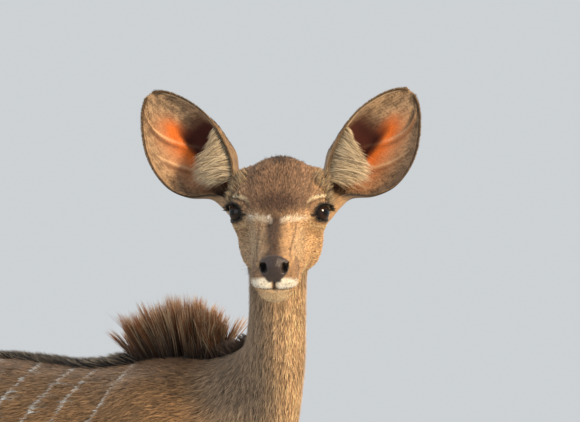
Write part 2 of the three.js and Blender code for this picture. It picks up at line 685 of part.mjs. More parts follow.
// Ears: a thin cup on a stout root
function earDirections(name) {
  const side = SIDES[name];
  const lean = EAR_LEAN[name];
  const along = new THREE.Vector3()
    .addScaledVector(headLeft, side * Math.cos(lean))
    .addScaledVector(Z_AXIS, Math.sin(lean))
    .addScaledVector(headAhead, Math.sin(EAR_BACK))
    .normalize();
  const out = headAhead.clone().addScaledVector(headLeft, side * 0.1);
  out.addScaledVector(along, -out.dot(along)).normalize();
  const inner = new THREE.Vector3().crossVectors(out, along).multiplyScalar(side);
  return { along, out, inner };
}
function earSolid(name) {
  const side = SIDES[name];
  const { along, out, inner } = earDirections(name);
  const root = inHead(EAR_ROOT.forward, EAR_ROOT.across * side, EAR_ROOT.up);
  const rows = threaded(EAR, 2);
  const count = 11;
  const middle = (row, angle) => {
    const half = angle > 0 ? row[2] : row[1];
    const lateral = -Math.sin(angle) * half;
    return root
      .clone()
      .addScaledVector(along, row[0])
      .addScaledVector(inner, lateral)
      .addScaledVector(out, -row[3] * Math.cos(angle));
  };
  const grid = rows.map((row) =>
    Array.from({ length: count }, (_, k) => middle(row, row[4] * DEGREE * ((2 * k) / (count - 1) - 1))),
  );
  const places = [];
  const faces = [];
  const normalAt = (i, k) => {
    const a = grid[Math.min(i + 1, rows.length - 1)][k].clone().sub(grid[Math.max(i - 1, 0)][k]);
    const b = grid[i][Math.min(k + 1, count - 1)].clone().sub(grid[i][Math.max(k - 1, 0)]);
    return new THREE.Vector3().crossVectors(a, b).normalize();
  };
  for (const half of [0.5, -0.5])
    grid.forEach((ring, i) =>
      ring.forEach((p, k) => places.push(p.clone().addScaledVector(normalAt(i, k), half * EAR_WALL).toArray())),
    );
  const other = rows.length * count;
  const quad = (a, b, c, d) => faces.push([a, b, c], [a, c, d]);
  for (let i = 0; i < rows.length - 1; i++)
    for (let k = 0; k < count - 1; k++) {
      const a = i * count + k;
      quad(a, a + 1, a + 1 + count, a + count);
      quad(other + a, other + a + count, other + a + 1 + count, other + a + 1);
    }
  const edge = (a, b) => quad(b, a, other + a, other + b);
  for (let k = 0; k < count - 1; k++) {
    edge(k, k + 1);
    edge((rows.length - 1) * count + k + 1, (rows.length - 1) * count + k);
  }
  for (let i = 0; i < rows.length - 1; i++) {
    edge((i + 1) * count, i * count);
    edge(i * count + count - 1, (i + 1) * count + count - 1);
  }
  const cup = solidOf(places, faces);
  const stem = new THREE.CylinderGeometry(31, 33, 62, 12);
  stem.scale(1, 1, 0.92);
  const inside = inHead(EAR_ROOT.forward - 14, (EAR_ROOT.across - 40) * side, EAR_ROOT.up - 12);
  const outside = root.clone().addScaledVector(along, 16).addScaledVector(out, -8);
  const way = outside.clone().sub(inside);
  stem.scale(1, way.length() / 62, 1);
  const stemSolid = placed(stem, inside.clone().lerp(outside, 0.5), [
    new THREE.Vector3().crossVectors(way, out).normalize(),
    way.clone().normalize(),
    new THREE.Vector3().crossVectors(new THREE.Vector3().crossVectors(way, out), way).normalize(),
  ]);
  return cup.add(stemSolid);
}
for (const [name, side] of Object.entries(SIDES))
  solids["ear_" + name] = largest(
    earSolid(name)
      .subtract(fleshRoom)
      .subtract(placed(ball(EYE.radius + LID + 1), eyeAt(side))),
  );

// Legs and hooves
function clawSolid(at, swing, extra) {
  const { toe, heel, height, width } = CLAW;
  const way = new THREE.Matrix4().makeRotationZ(swing).setPosition(at);
  const count = 10;
  const rings = [-extra, 12, height + extra].map((z) => {
    const rise = Math.max(0, z) / height;
    const front = toe - 30 * rise + extra;
    const back = heel + 6 * rise * rise - extra;
    const half = (width / 2) * (1 - 0.16 * rise) + extra;
    return Array.from({ length: count }, (_, k) => {
      const angle = (2 * Math.PI * (k + 0.5)) / count;
      const [c, s] = [Math.cos(angle), Math.sin(angle)];
      const x = (front + back) / 2 + ((front - back) / 2) * c;
      const slim = 1 - 0.3 * Math.max(0, c);
      const y = half * slim * Math.sign(s) * Math.pow(Math.abs(s), 0.75);
      return new THREE.Vector3(x, y, z).applyMatrix4(way);
    });
  });
  return loft(rings);
}
const LEGS = {
  foreleg: { rows: FORELEG, hoof: [60, 90] },
  hindleg: { rows: HINDLEG, hoof: [-708, 92] },
};
for (const [leg, { rows, hoof }] of Object.entries(LEGS))
  for (const [name, side] of Object.entries(SIDES)) {
    const mirrored = rows.map(([x, y, z, wide, deep]) => [x, y * side, z, wide, deep]);
    const level = () => Z_AXIS.clone().negate();
    let made = ringed(fleshForm, stationsOf(mirrored, { steps: 2, tiltOf: level, slack: 1.45 }), 11);
    made = made.intersect(legBox(leg, side, -GAP / 2));
    for (const which of [-1, 1]) {
      const offset = which * (CLAW.width / 2 + CLAW.cleft / 2);
      const at = new THREE.Vector3(hoof[0], hoof[1] * side + offset, 0);
      const swing = which * 4 * DEGREE;
      made = made.subtract(clawSolid(at, swing, GAP));
      solids[`hoof_${leg}_${name}_${which * side > 0 ? "outer" : "inner"}`] = clawSolid(at, swing, 0);
    }
    made = largest(made.trimByPlane([0, 0, 1], 34));
    solids[leg + "_" + name] = made;
  }

// Tail, hanging down behind the buttocks
const TAIL = [
  [-758, 0, 1072, 26, 26],
  [-796, 0, 1062, 23, 22],
  [-826, 0, 1020, 20, 18],
  [-838, 0, 950, 17, 14],
  [-842, 0, 870, 14, 11],
  [-842, 0, 800, 11, 9],
];
const tailForm = strand(TAIL, { cap: 14, steps: 3 });
const tailStations = stationsOf(TAIL, { steps: 2, slack: 1.3 });
solids.tail = largest(
  ringed((x, y, z) => soft(tailForm(x, y, z), bodyForm(x, y, z), 20), tailStations, 10).subtract(fleshRoom),
);

// The line along the top of the neck and back, from the poll to the rump, found by rays from inside the body
const neckUps = stationsOf(NECK.slice(3), { steps: 1, sideOf: neckSide }).map(({ at, along, side }) => [
  ...at.toArray(),
  ...new THREE.Vector3().crossVectors(along, side).toArray(),
]);
const pollUp = headAhead.clone().multiplyScalar(-0.8).add(Z_AXIS);
const DORSAL = [
  [...inHead(-78, 0, 20).toArray(), ...pollUp.toArray()],
  ...neckUps.reverse(),
  [192, -12, 1075, -0.5, 0.03, 0.87],
  [140, -3, 1040, -0.28, 0, 0.96],
  [85, 0, 1040, -0.1, 0, 1],
  ...Array.from({ length: 13 }, (_, i) => [25 - 60 * i, 0, 1000, 0, 0, 1]),
];
const topLine = threaded(DORSAL, 3).map((row) => {
  const way = new THREE.Vector3(row[3], row[4], row[5]).normalize();
  const from = new THREE.Vector3(row[0], row[1], row[2]);
  return { at: from.clone().addScaledVector(way, depthAlong(fleshForm, from, way, 260)), up: way, run: 0 };
});
topLine.forEach((spot, i) => (spot.run = i ? topLine[i - 1].run + spot.at.distanceTo(topLine[i - 1].at) : 0));
const onTop = (run) => {
  const i = Math.max(1, Math.min(topLine.length - 1, topLine.findIndex((spot) => spot.run >= run)));
  const [a, b] = [topLine[i - 1], topLine[i]];
  const t = (run - a.run) / (b.run - a.run);
  return {
    at: a.at.clone().lerp(b.at, t),
    up: a.up.clone().lerp(b.up, t).normalize(),
    ahead: b.at.clone().sub(a.at).normalize(),
  };
};
const runAt = (x) => topLine.find((spot) => spot.run > 330 && spot.at.x <= x).run;

// The value at a share of the way along numbers given at even steps
const along = (values, share) => {
  const f = Math.max(0, Math.min(1, share)) * (values.length - 1);
  const i = Math.min(values.length - 2, Math.floor(f));
  return values[i] + (values[i + 1] - values[i]) * (f - i);
};
// Draws in a fixed order, so that every build is the same
function drawing(seed) {
  let state = seed;
  return (low, high) => {
    state = (state * 1664525 + 1013904223) % 4294967296;
    return low + ((high - low) * state) / 4294967296;
  };
}

// One lock: a flat, tapered blade that bends towards its lean. way is its rise, flat the direction of its breadth.
function lock({ root, way, flat, length, bend, wide }) {
  const face = new THREE.Vector3().crossVectors(way, flat).normalize();
  const breadth = new THREE.Vector3().crossVectors(face, way).normalize();
  const rings = [0, 0.55, 0.88].map((t) => {
    const middle = root
      .clone()
      .addScaledVector(way, length * t)
      .addScaledVector(face, bend * t * t);
    const [w, h] = [(wide / 2) * (1 - 0.75 * t ** 1.6), (LOCK_THICK / 2) * (1 - 0.5 * t)];
    return [
      [w, 0],
      [0, h],
      [-w, 0],
      [0, -h],
    ].map(([a, b]) => middle.clone().addScaledVector(breadth, a).addScaledVector(face, b));
  });
  const tip = root
    .clone()
    .addScaledVector(way, length)
    .addScaledVector(face, bend);
  return loft(rings, [undefined, tip]);
}

// A mane between two distances along the top line: its core, and rows of locks whose roots are deep in the core
function mane({ heights, leans, core, half, locks, wide, splay }, from, to, seed) {
  const steps = heights.length + 3;
  const rings = Array.from({ length: steps + 1 }, (_, i) => {
    const share = i / steps;
    const { at, up, ahead: forth } = onTop(from + (to - from) * share);
    const side = new THREE.Vector3().crossVectors(up, forth).normalize();
    const height = core * along(heights, share) * Math.sin(Math.PI * (0.12 + 0.76 * share)) ** 0.4;
    const tilt = along(leans, share) * DEGREE * 0.6;
    const way = up.clone().multiplyScalar(Math.cos(tilt)).addScaledVector(forth, Math.sin(tilt));
    const corner = (h, w) => at.clone().addScaledVector(h < 0 ? up : way, h).addScaledVector(side, w);
    return [
      corner(-SUNK, half),
      corner(height * 0.6, half * 0.72),
      corner(height, 2),
      corner(height, -2),
      corner(height * 0.6, -half * 0.72),
      corner(-SUNK, -half),
    ];
  });
  const draw = drawing(seed);
  const pieces = [loft(rings)];
  for (let i = 0; i < locks; i++) {
    const share = (i + 0.5 + draw(-0.25, 0.25)) / locks;
    const row = (i % 3) - 1;
    const { at, up, ahead: forth } = onTop(from + (to - from) * (0.012 + 0.976 * share));
    const side = new THREE.Vector3().crossVectors(up, forth).normalize();
    const height = along(heights, share);
    const lean = (along(leans, share) + draw(-5, 5)) * DEGREE;
    const swing = (row * splay * 0.75 + draw(-0.35, 0.35) * splay) * DEGREE;
    const way = up
      .clone()
      .multiplyScalar(Math.cos(lean) * Math.cos(swing))
      .addScaledVector(forth, Math.sin(lean))
      .addScaledVector(side, Math.sin(swing));
    const root = at.clone().addScaledVector(side, row * half * 0.42).addScaledVector(up, -3);
    const flat = forth.clone().addScaledVector(side, draw(-0.35, 0.35));
    const length = (height / Math.max(0.5, Math.cos(lean)) + 3) * draw(0.88, 1.06);
    const bend = row * height * 0.06;
    pieces.push(lock({ root, way: way.normalize(), flat, length, bend, wide: wide * draw(0.8, 1.1) }));
  }
  return joined(pieces);
}
const runs = { poll: 14, withers: runAt(92), back: runAt(-128), rump: runAt(-670) };
const bareBack = (solid) => largest(solid.subtract(fleshRoom));
// The manes part along planes that lean as the hair does
const parting = (run, lean) => {
  const { at, up, ahead: forth } = onTop(run);
  return { at, normal: forth.clone().multiplyScalar(Math.cos(lean)).addScaledVector(up, -Math.sin(lean)) };
};
const frontParting = parting(runs.withers, -18 * DEGREE);
const backParting = parting(runs.back, 46 * DEGREE);
const overlap = 6;
const napeMane = mane(NAPE, runs.poll, runs.withers + overlap, 23);
const withersMane = mane(WITHERS, runs.withers - overlap, runs.back + overlap, 11);
const backCrest = mane(CREST, runs.back - overlap, runs.rump, 37);
solids.mane_nape = bareBack(keep(napeMane, frontParting, -1));
solids.mane_withers = bareBack(keep(keep(withersMane, frontParting), backParting, -1));
solids.crest_back = bareBack(keep(backCrest, backParting));

// Assembly
const COLOURS = {
  coat: { color: 0x8c6e50, roughness: 0.9 },
  ear: { color: 0xa5825f, roughness: 0.9 },
  eye: { color: 0x0c0806, roughness: 0.1 },
  hoof: { color: 0x1c1815, roughness: 0.55 },
  mane: { color: 0x33241a, roughness: 0.9 },
};
const finishOf = (name) =>
  name.startsWith("eye")
    ? "eye"
    : name.startsWith("hoof")
      ? "hoof"
      : name.startsWith("mane") || name.startsWith("crest")
        ? "mane"
        : name.startsWith("ear")
          ? "ear"
          : "coat";
function meshOf(name, solid) {
  const geometry = geometryOf(solid);
  const mesh = new THREE.Mesh(
    geometry,
    new THREE.MeshStandardMaterial({ ...COLOURS[finishOf(name)], metalness: 0 }),
  );
  mesh.name = name;
  return mesh;
}
const kudu = new THREE.Group();
for (const [name, solid] of Object.entries(solids)) kudu.add(meshOf(name, solid));

// The frame's origin is on the floor under the middle of the whole animal
const whole = new THREE.Box3().setFromObject(kudu, true);
kudu.position.set(-(whole.min.x + whole.max.x) / 2, -(whole.min.y + whole.max.y) / 2, -whole.min.z);
export default kudu;
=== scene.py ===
import math

import bmesh
import bpy
import numpy as np
from mathutils import Matrix, Vector, kdtree
from mathutils.bvhtree import BVHTree


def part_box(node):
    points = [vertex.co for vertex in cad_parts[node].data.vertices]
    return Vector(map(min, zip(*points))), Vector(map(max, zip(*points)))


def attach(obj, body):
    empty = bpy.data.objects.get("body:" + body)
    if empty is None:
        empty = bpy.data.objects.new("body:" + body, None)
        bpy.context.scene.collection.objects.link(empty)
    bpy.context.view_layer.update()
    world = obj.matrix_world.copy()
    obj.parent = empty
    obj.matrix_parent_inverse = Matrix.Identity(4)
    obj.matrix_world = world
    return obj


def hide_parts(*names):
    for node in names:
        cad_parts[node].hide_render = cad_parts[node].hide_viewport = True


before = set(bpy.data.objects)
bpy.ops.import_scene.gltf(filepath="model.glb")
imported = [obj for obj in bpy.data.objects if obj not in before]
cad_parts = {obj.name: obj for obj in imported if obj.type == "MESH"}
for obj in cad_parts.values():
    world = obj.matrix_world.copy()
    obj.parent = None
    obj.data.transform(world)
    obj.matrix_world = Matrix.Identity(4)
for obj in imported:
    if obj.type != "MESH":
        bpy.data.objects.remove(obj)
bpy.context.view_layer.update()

# The cow's own directions, in millimetres.
# The trunk lies along +X and the head looks to her right. The eyes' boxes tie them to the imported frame.
eye_middle = (sum((sum(map(Vector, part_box(n)), Vector()) / 2 for n in ("eye_left", "eye_right")), Vector())
    / 2)
eye_middle_cow = np.array([363.3, -161.3, 1389.0])
middle_of_eye_boxes = [364.7, -163.0, 1388.7]
cow_shift = np.array(eye_middle) * 1000 - middle_of_eye_boxes
look_turn = math.radians(-51.3)
look_ahead = np.array([math.cos(look_turn), math.sin(look_turn), 0.0])
look_left = np.array([-math.sin(look_turn), math.cos(look_turn), 0.0])
face_pitch = math.radians(34)
up = np.array([0.0, 0.0, 1.0])
muzzle_way = look_ahead * math.cos(face_pitch) - up * math.sin(face_pitch)
brow_way = look_ahead * math.sin(face_pitch) + up * math.cos(face_pitch)


# Ears: one thin cup of skin and gristle each, on a round stem, as wide as half the face is long.
# Each is made as a closed shell with its inner folds, and is joined to the hide at the stem.
def place(points):
    return (np.asarray(points) + cow_shift) / 1000


def soft_step(low, high, x):
    t = np.clip((x - low) / (high - low), 0, 1)
    return t * t * (3 - 2 * t)


def deselect():
    for o in bpy.context.selected_objects:
        o.select_set(False)


def pick(o):
    deselect()
    o.select_set(True)
    bpy.context.view_layer.objects.active = o


def mesh_piece(name, places, faces):
    mesh = bpy.data.meshes.new(name)
    mesh.from_pydata([tuple(map(float, p)) for p in places], [], [tuple(map(int, f)) for f in faces])
    mesh.validate()
    o = bpy.data.objects.new(name, mesh)
    bpy.context.scene.collection.objects.link(o)
    return o


def ripple(x, y, z, size, seed=0):
    """Smooth unevenness from -1 to 1, about size millimetres across."""
    total = np.zeros(np.broadcast(x, y, z).shape)
    turn = np.random.default_rng(seed)
    waves, full_turn = 7, 6.283
    for _ in range(waves):
        way = turn.normal(size=3)
        way /= np.linalg.norm(way)
        total += np.sin((x * way[0] + y * way[1] + z * way[2]) * (full_turn / size)
            * turn.uniform(0.6, 1.6) + turn.uniform(0, 6.28))
    return total / 3.2


# Sections from the root to the tip: [along, inner half width, outer half width, depth of the cup, half wrap]
ear_rows = np.array([
    [-52, 25, 22, 24, 172],
    [-30, 26, 23, 25, 170],
    [-8, 27, 24, 26, 165],
    [14, 32, 30, 36, 140],
    [38, 38, 56, 47, 106],
    [68, 45, 73, 50, 92],
    [100, 50, 77, 44, 88],
    [131, 50, 72, 33, 86],
    [160, 43, 59, 22, 84],
    [186, 31, 41, 12, 82],
    [203, 18, 24, 6, 80],
    [213, 6, 8, 2, 78],
], dtype=float)
ear_root = (-58, 84, 30)
ear_lean = {"right": math.radians(51), "left": math.radians(53)}
sides = {"right": -1, "left": 1}


def threaded(rows, steps):
    made = []
    n = len(rows)
    for i in range(n - 1):
        a, b, c, d = (rows[min(max(i + k, 0), n - 1)] for k in (-1, 0, 1, 2))
        for k in range(steps):
            t = k / steps
            made.append(b + 0.5 * t * (c - a + t * (2 * a - 5 * b + 4 * c - d + t * (3 * (b - c) + d - a))))
    made.append(rows[-1])
    return np.array(made)


ear_dense = threaded(ear_rows, 12)


def ear_ways(name):
    side, lean = sides[name], ear_lean[name]
    along = (look_left * side * math.cos(lean) + up * math.sin(lean) + look_ahead
        * math.sin(math.radians(-4)))
    along /= np.linalg.norm(along)
    out = look_ahead + look_left * side * 0.1
    out = out - along * (out @ along)
    out /= np.linalg.norm(out)
    return along, out, np.cross(out, along) * side


def ear_point(name, share, angle, lift=0.0):
    """A place on the ear. share runs from the stem inside the head, 0, to the tip, 1.
    angle runs from the inner rim, -1, round the back to the outer rim, 1."""
    along, out, inner = ear_ways(name)
    lift = lift + hollow(np.asarray(share, float), np.asarray(angle, float))
    root = (eye_middle_cow + look_ahead * ear_root[0] + look_left * ear_root[1] * sides[name] + up
        * ear_root[2])
    f = np.clip(np.asarray(share, float), 0, 1) * (len(ear_dense) - 1)
    i = np.minimum(f.astype(int), len(ear_dense) - 2)
    t = (f - i)[..., None]
    row = ear_dense[i] * (1 - t) + ear_dense[i + 1] * t
    turn = np.radians(row[..., 4]) * angle
    half = np.where(turn > 0, row[..., 2], row[..., 1])
    lateral = -np.sin(turn) * half
    depth = -(row[..., 3] + lift) * np.cos(turn)
    lateral = lateral - np.sin(turn) * lift
    return root + row[..., :1] * along + lateral[..., None] * inner + depth[..., None] * out


def hollow(share, angle):
    """How far the cup sinks past its fold, on the side of the inner rim."""
    fold = 0.06 + 0.1 * (share - 0.5)
    deep = soft_step(fold + 0.07, fold - 0.03, angle) * soft_step(-0.86, -0.5, angle)
    return 15 * deep * soft_step(0.3, 0.42, share) * soft_step(0.72, 0.56, share)


ear_creases = ((0.7, 0.42, 0.02, 0.3), (0.52, 0.4, 0.018, 0.24), (0.78, 0.6, 0.013, 0.2))
ear_wall = 3.4
ear_skins, ear_facts = [], []
for name in sides:
    share, angle = np.meshgrid(np.linspace(0, 1, 104), np.linspace(-1, 1, 68), indexing="ij")
    crease = np.zeros_like(share)
    for at, where, width, reach in ear_creases:
        line = share - at - (angle - where) * 0.4
        crease += np.exp(-((line / width) ** 2) - ((angle - where) / reach) ** 2)
    waves = 0.7 * ripple(share * 230, angle * 90, angle * 0, 36, 5) + 4.2 * crease
    thick = ear_wall * (0.55 + 0.5 * np.sin(np.pi * np.clip(share, 0, 1)))
    inside = ear_point(name, share, angle, -thick / 2 - waves * (1 - np.abs(angle)) ** 0.3)
    outside = ear_point(name, share, angle, thick / 2)
    index = np.arange(share.size).reshape(share.shape)
    off = share.size
    a, b, c, d = index[:-1, :-1], index[:-1, 1:], index[1:, 1:], index[1:, :-1]
    quads = list(np.stack([a, b, c, d], -1).reshape(-1, 4))
    quads += list(np.stack([a + off, d + off, c + off, b + off], -1).reshape(-1, 4))
    for edge in (index[0], index[:, -1], index[-1, ::-1], index[::-1, 0]):
        quads += [(edge[k + 1], edge[k], edge[k] + off, edge[k + 1] + off) for k in range(len(edge) - 1)]
    places = place(np.concatenate([inside.reshape(-1, 3), outside.reshape(-1, 3)]))
    ear = mesh_piece("ear_skin_" + name, places, quads)
    pick(ear)
    bpy.ops.object.mode_set(mode="EDIT")
    bpy.ops.mesh.select_all(action="SELECT")
    bpy.ops.mesh.normals_make_consistent(inside=False)
    bpy.ops.object.mode_set(mode="OBJECT")
    ear_skins.append(ear)
    facts = np.stack([share.ravel(), angle.ravel(), np.ones(off)], -1)
    ear_facts.append((places, np.concatenate([facts, facts * [1, 1, 0]])))

# Hide: one skin of flesh and short hair over head, neck, trunk, tail and legs.
# It lies under the coat's depth inside the solids, is finest over the face, and covers all the flesh nodes.
def cow(points):
    return np.asarray(points) * 1000 - cow_shift


def face(points):
    rel = cow(points) - eye_middle_cow
    return rel @ muzzle_way, rel @ look_left, rel @ brow_way


def front(points):
    rel = cow(points) - eye_middle_cow
    return rel @ look_ahead, rel @ look_left, rel[..., 2]


def on_face(along, left, dorsal):
    return place(eye_middle_cow + muzzle_way * along + look_left * left + brow_way * dorsal)


def spot(distance, radius, edge):
    return 1 - soft_step(radius - edge, radius + edge, distance)


def corners(o):
    co = np.empty(len(o.data.vertices) * 3)
    o.data.vertices.foreach_get("co", co)
    return co.reshape(-1, 3)


def move_corners(o, co):
    o.data.vertices.foreach_set("co", np.ascontiguousarray(co, dtype=np.float64).ravel())
    o.data.update()


def normals(o):
    n = np.empty(len(o.data.vertices) * 3, dtype=np.float32)
    o.data.vertex_normals.foreach_get("vector", n)
    return n.reshape(-1, 3).astype(float)


def merged_copy(name, nodes):
    build = bmesh.new()
    for n in nodes:
        build.from_mesh(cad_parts[n].data)
    bmesh.ops.remove_doubles(build, verts=build.verts, dist=1e-6)
    mesh = bpy.data.meshes.new(name)
    build.to_mesh(mesh)
    build.free()
    o = bpy.data.objects.new(name, mesh)
    bpy.context.scene.collection.objects.link(o)
    return o


def modify(o, kind, **settings):
    pick(o)
    m = o.modifiers.new(kind.lower(), kind)
    for key, value in settings.items():
        setattr(m, key, value)
    bpy.ops.object.modifier_apply(modifier=m.name)


def hump(x, at, width):
    """1 where x is at, falling off evenly over width on both sides."""
    return np.exp(-(((x - at) / width) ** 2))


flesh_nodes = ["head", "neck", "torso", "tail", "foreleg_left", "foreleg_right", "hindleg_left",
    "hindleg_right"]
hide = merged_copy("hide", flesh_nodes + ["eye_left", "eye_right"])
skin_voxel = 0.0028
triangles_kept = 0.17
hide.data.remesh_voxel_size = skin_voxel
hide.data.use_remesh_fix_poles = False
pick(hide)
bpy.ops.object.voxel_remesh()
modify(hide, "SMOOTH", factor=0.5, iterations=8)


def head_share(points):
    """0 behind the cut between head and neck, 1 in front of it."""
    u, _, w = front(points)
    past = ((u + 95) * 166 + (w - 66) * 47) / 172.5
    return soft_step(-10, 14, past) * soft_step(-175, -160, w)


u, left, w = front(corners(hide))
coarse = hide.vertex_groups.new(name="coarse")
fineness = soft_step(-150, -60, u) * soft_step(-190, -130, w)
levels = np.round(1 - 0.97 * fineness, 1)
for level in np.unique(levels):
    coarse.add(np.nonzero(levels == level)[0].tolist(), float(level), "REPLACE")
modify(hide, "DECIMATE", ratio=triangles_kept, vertex_group="coarse", vertex_group_factor=6.0)
modify(hide, "SMOOTH", factor=0.5, iterations=14, vertex_group="coarse")
co = corners(hide)
x, y, z = cow(co).T
on_head = head_share(co)
depth = 1.2 * on_head + (1 - on_head) * (1.6 + 2.2 * soft_step(560, 760, z))
co -= normals(hide) * depth[:, None] / 1000

eyes = dict(along=2, across=62, dorsal=1, radius=0.021, turn_out=math.radians(53), wide=24.5, tall=12.6)


def eye_ways(name):
    side = sides[name]
    out = look_ahead * math.cos(eyes["turn_out"]) + look_left * side * math.sin(eyes["turn_out"])
    level = np.cross(up, out)
    return level, np.cross(out, level), out


def eye_place(name):
    return on_face(eyes["along"], eyes["across"] * sides[name], eyes["dorsal"])


def nose_pad(along, left, dorsal):
    """1 on the bare, moist skin round the nostrils, which narrows to the split of the lip."""
    half = 10 + 14 * soft_step(-13, 7, dorsal) - 2 * soft_step(18, 27, dorsal)
    return soft_step(165, 169, along) * spot(np.abs(left), half, 1.6) * soft_step(-14, -10, dorsal)


def lip_pads(along, left, dorsal):
    """1 on the two white, puffed halves of the upper lip."""
    over = mouth_height(along, left, dorsal)
    low = 1 - soft_step(19, 24, over + 0.012 * np.maximum(np.abs(left) - 12, 0) ** 2)
    return (soft_step(132, 140, along) * soft_step(1, 4, over) * low * soft_step(2.5, 7, np.abs(left))
        * soft_step(40, 34, np.abs(left)))


# Lips, philtrum and nose pad: soft, thick skin, cleft in the middle and bare round the nostrils.
# They are pressed into and raised out of the hide, as are the folds beside the nose and the eyelids.
mouth = dict(pivot=124, rise=-26.5, drop=-40)


def mouth_height(along, left, dorsal):
    turn = np.degrees(np.arctan2(np.abs(left), along - mouth["pivot"]))
    share = np.clip(turn / 84, 0, 1.2)
    return dorsal - (mouth["rise"] + (mouth["drop"] - mouth["rise"]) * share**2)


def cheek_fold_at(height, left):
    """How far from the middle of the face the fold beside the nose runs."""
    return 28 - 3 * np.sin(height / 14) * (left > 0) - 2 * np.cos(height / 17) * (left < 0)


along, left, dorsal = face(co)
over_mouth = mouth_height(along, left, dorsal)
on_muzzle = soft_step(104, 118, along) * on_head
press = -2.4 * hump(over_mouth, 0, 1.9) + 1.3 * hump(np.abs(over_mouth), 6, 3.5)
philtrum = -1.8 * hump(left, 0, 1.6) * soft_step(168, 176, along) * spot(np.abs(dorsal + 21), 10, 3)
pad = nose_pad(along, left, dorsal) * on_head
height_of_face = front(co)[2]
fold_at = cheek_fold_at(height_of_face, left)
fold = (hump(np.abs(left), fold_at, 1.7) * soft_step(-8, -24, height_of_face)
    * soft_step(-84, -66, height_of_face))
lip = lip_pads(along, left, dorsal)
press += 1.3 * hump(over_mouth, -5, 2.2)
shift = ((press + philtrum) * on_muzzle + 0.9 * pad - 1.1 * fold * (dorsal > 0) * on_head + 1.5 * lip
    * on_head)
co += normals(hide) * shift[:, None] / 1000
for name in sides:
    level, rise, out = eye_ways(name)
    rel = (co - eye_place(name)) * 1000
    ex, ey, ez = rel @ level, rel @ rise, rel @ out
    r = np.hypot(ex / eyes["wide"], ey / eyes["tall"])
    upper, near = soft_step(-3, 4, ey), soft_step(2, 8, ez) * spot(np.hypot(ex, ey), 48, 8)
    lid = upper * (2.9 * hump(r, 1.28, 0.22) - 1.8 * hump(r, 1.78, 0.13) + 2.4 * hump(r, 2.35, 0.4))
    lid += (1 - upper) * (1.3 * hump(r, 1.22, 0.16) - 1.0 * hump(r, 1.66, 0.12) + 0.8 * hump(r, 2, 0.2))
    duct = -1.6 * np.exp(-(((ex * -sides[name] - 31) / 6) ** 2) - ((ey + 4) / 2.2) ** 2)
    co += ((out * ((lid + duct) * near)[:, None] + rise
        * (-0.6 * upper * near * hump(r, 1.2, 0.2))[:, None]) / 1000)
move_corners(hide, co)
for ear in ear_skins:
    modify(hide, "BOOLEAN", operation="UNION", object=ear, solver="MANIFOLD")
    bpy.data.objects.remove(ear)

# Eye sockets and nostrils: real openings, the lids keeping their almond rims.
# Each is cut out of the hide by a closed form that is then thrown away.
X, Y, Z = np.eye(3)


def lathe(name, at, ways, rings):
    """A closed form round an axis, pointed at both sides. rings are (half width, half height, distance)."""
    count = 40
    places, faces = [at + ways[2] * rings[0][2] / 1000], []
    for wide, tall, far in rings:
        for k in range(count):
            t = 2 * math.pi * k / count
            c, s = math.cos(t), math.sin(t)
            places.append(at + (ways[0] * wide * c + ways[1] * tall * s * abs(s) ** 0.35 + ways[2] * far)
                / 1000)
    places.append(at + ways[2] * rings[-1][2] / 1000)
    for i in range(len(rings) - 1):
        for k in range(count):
            a, b = 1 + i * count + k, 1 + i * count + (k + 1) % count
            faces.append((a, b, b + count, a + count))
    last = 1 + (len(rings) - 1) * count
    faces += [(0, 1 + (k + 1) % count, 1 + k) for k in range(count)]
    faces += [(len(places) - 1, last + k, last + (k + 1) % count) for k in range(count)]
    return mesh_piece(name, places, faces)


def ball(name, at, radius, segments=48, rings=32, turned=None, stretch=(1, 1, 1)):
    deselect()
    bpy.ops.mesh.primitive_uv_sphere_add(segments=segments, ring_count=rings, radius=1)
    o = bpy.context.object
    o.name = o.data.name = name
    basis = Matrix([list(way) for way in (turned or (X, Y, Z))]).transposed().to_4x4()
    size = Matrix.Diagonal((radius * stretch[0], radius * stretch[1], radius * stretch[2], 1))
    o.data.transform(Matrix.Translation(Vector(at)) @ basis @ size)
    o.data.update()
    return o


for name, side in sides.items():
    at, ways = eye_place(name), eye_ways(name)
    cutters = [
        lathe("cut", at, ways, [(eyes["wide"] * 0.4, 5, 3), (eyes["wide"], eyes["tall"], 12),
            (eyes["wide"] * 1.3, eyes["tall"] * 1.4, 34)]),
        ball("cut", at, eyes["radius"] + 0.0002, 64, 48, ways),
    ]
    turn = (Matrix.Rotation(math.radians(-28 * side), 3, Vector(muzzle_way))
        @ Matrix.Rotation(math.radians(24 * side), 3, Vector(brow_way)))
    nose_ways = [np.array(turn @ Vector(v)) for v in (muzzle_way, look_left, brow_way)]
    cutters.append(ball("cut", on_face(178, 16.5 * side, 10), 0.001, 28, 18, nose_ways, (14, 6.6, 8)))
    cutters.append(ball("cut", on_face(172, 22.5 * side, 13), 0.001, 20, 14, nose_ways, (13, 3.2, 4.2)))
    for cutter in cutters:
        modify(hide, "BOOLEAN", operation="DIFFERENCE", object=cutter, solver="MANIFOLD")
        bpy.data.objects.remove(cutter)
pick(hide)
bpy.ops.object.shade_smooth()
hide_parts("ear_left", "ear_right", *flesh_nodes)
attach(hide, "root")

# Markings: where each colour of the coat lies, with painted light and shade on the neck, face, nose, mouth and
# ears, shared by the hide and by every hair on it.
# Sandy brown hair with a dark back, thin white stripes, a pale chevron, white lips and chin.
def linear(hexcode):
    value = [int(hexcode[i : i + 2], 16) / 255 for i in (1, 3, 5)]
    return np.array([c / 12.92 if c <= 0.04045 else ((c + 0.055) / 1.055) ** 2.4 for c in value])


def mixed(base, tint, share):
    """base turned towards tint by share. Either may be a colour's hex code."""
    base, tint = (linear(c) if isinstance(c, str) else np.asarray(c) for c in (base, tint))
    share = np.clip(np.asarray(share), 0, 1)[..., None]
    return base * (1 - share) + tint * share


def layered(base, *layers):
    """base with each (tint, share) laid over it in turn."""
    for tint, share in layers:
        base = mixed(base, tint, share)
    return base


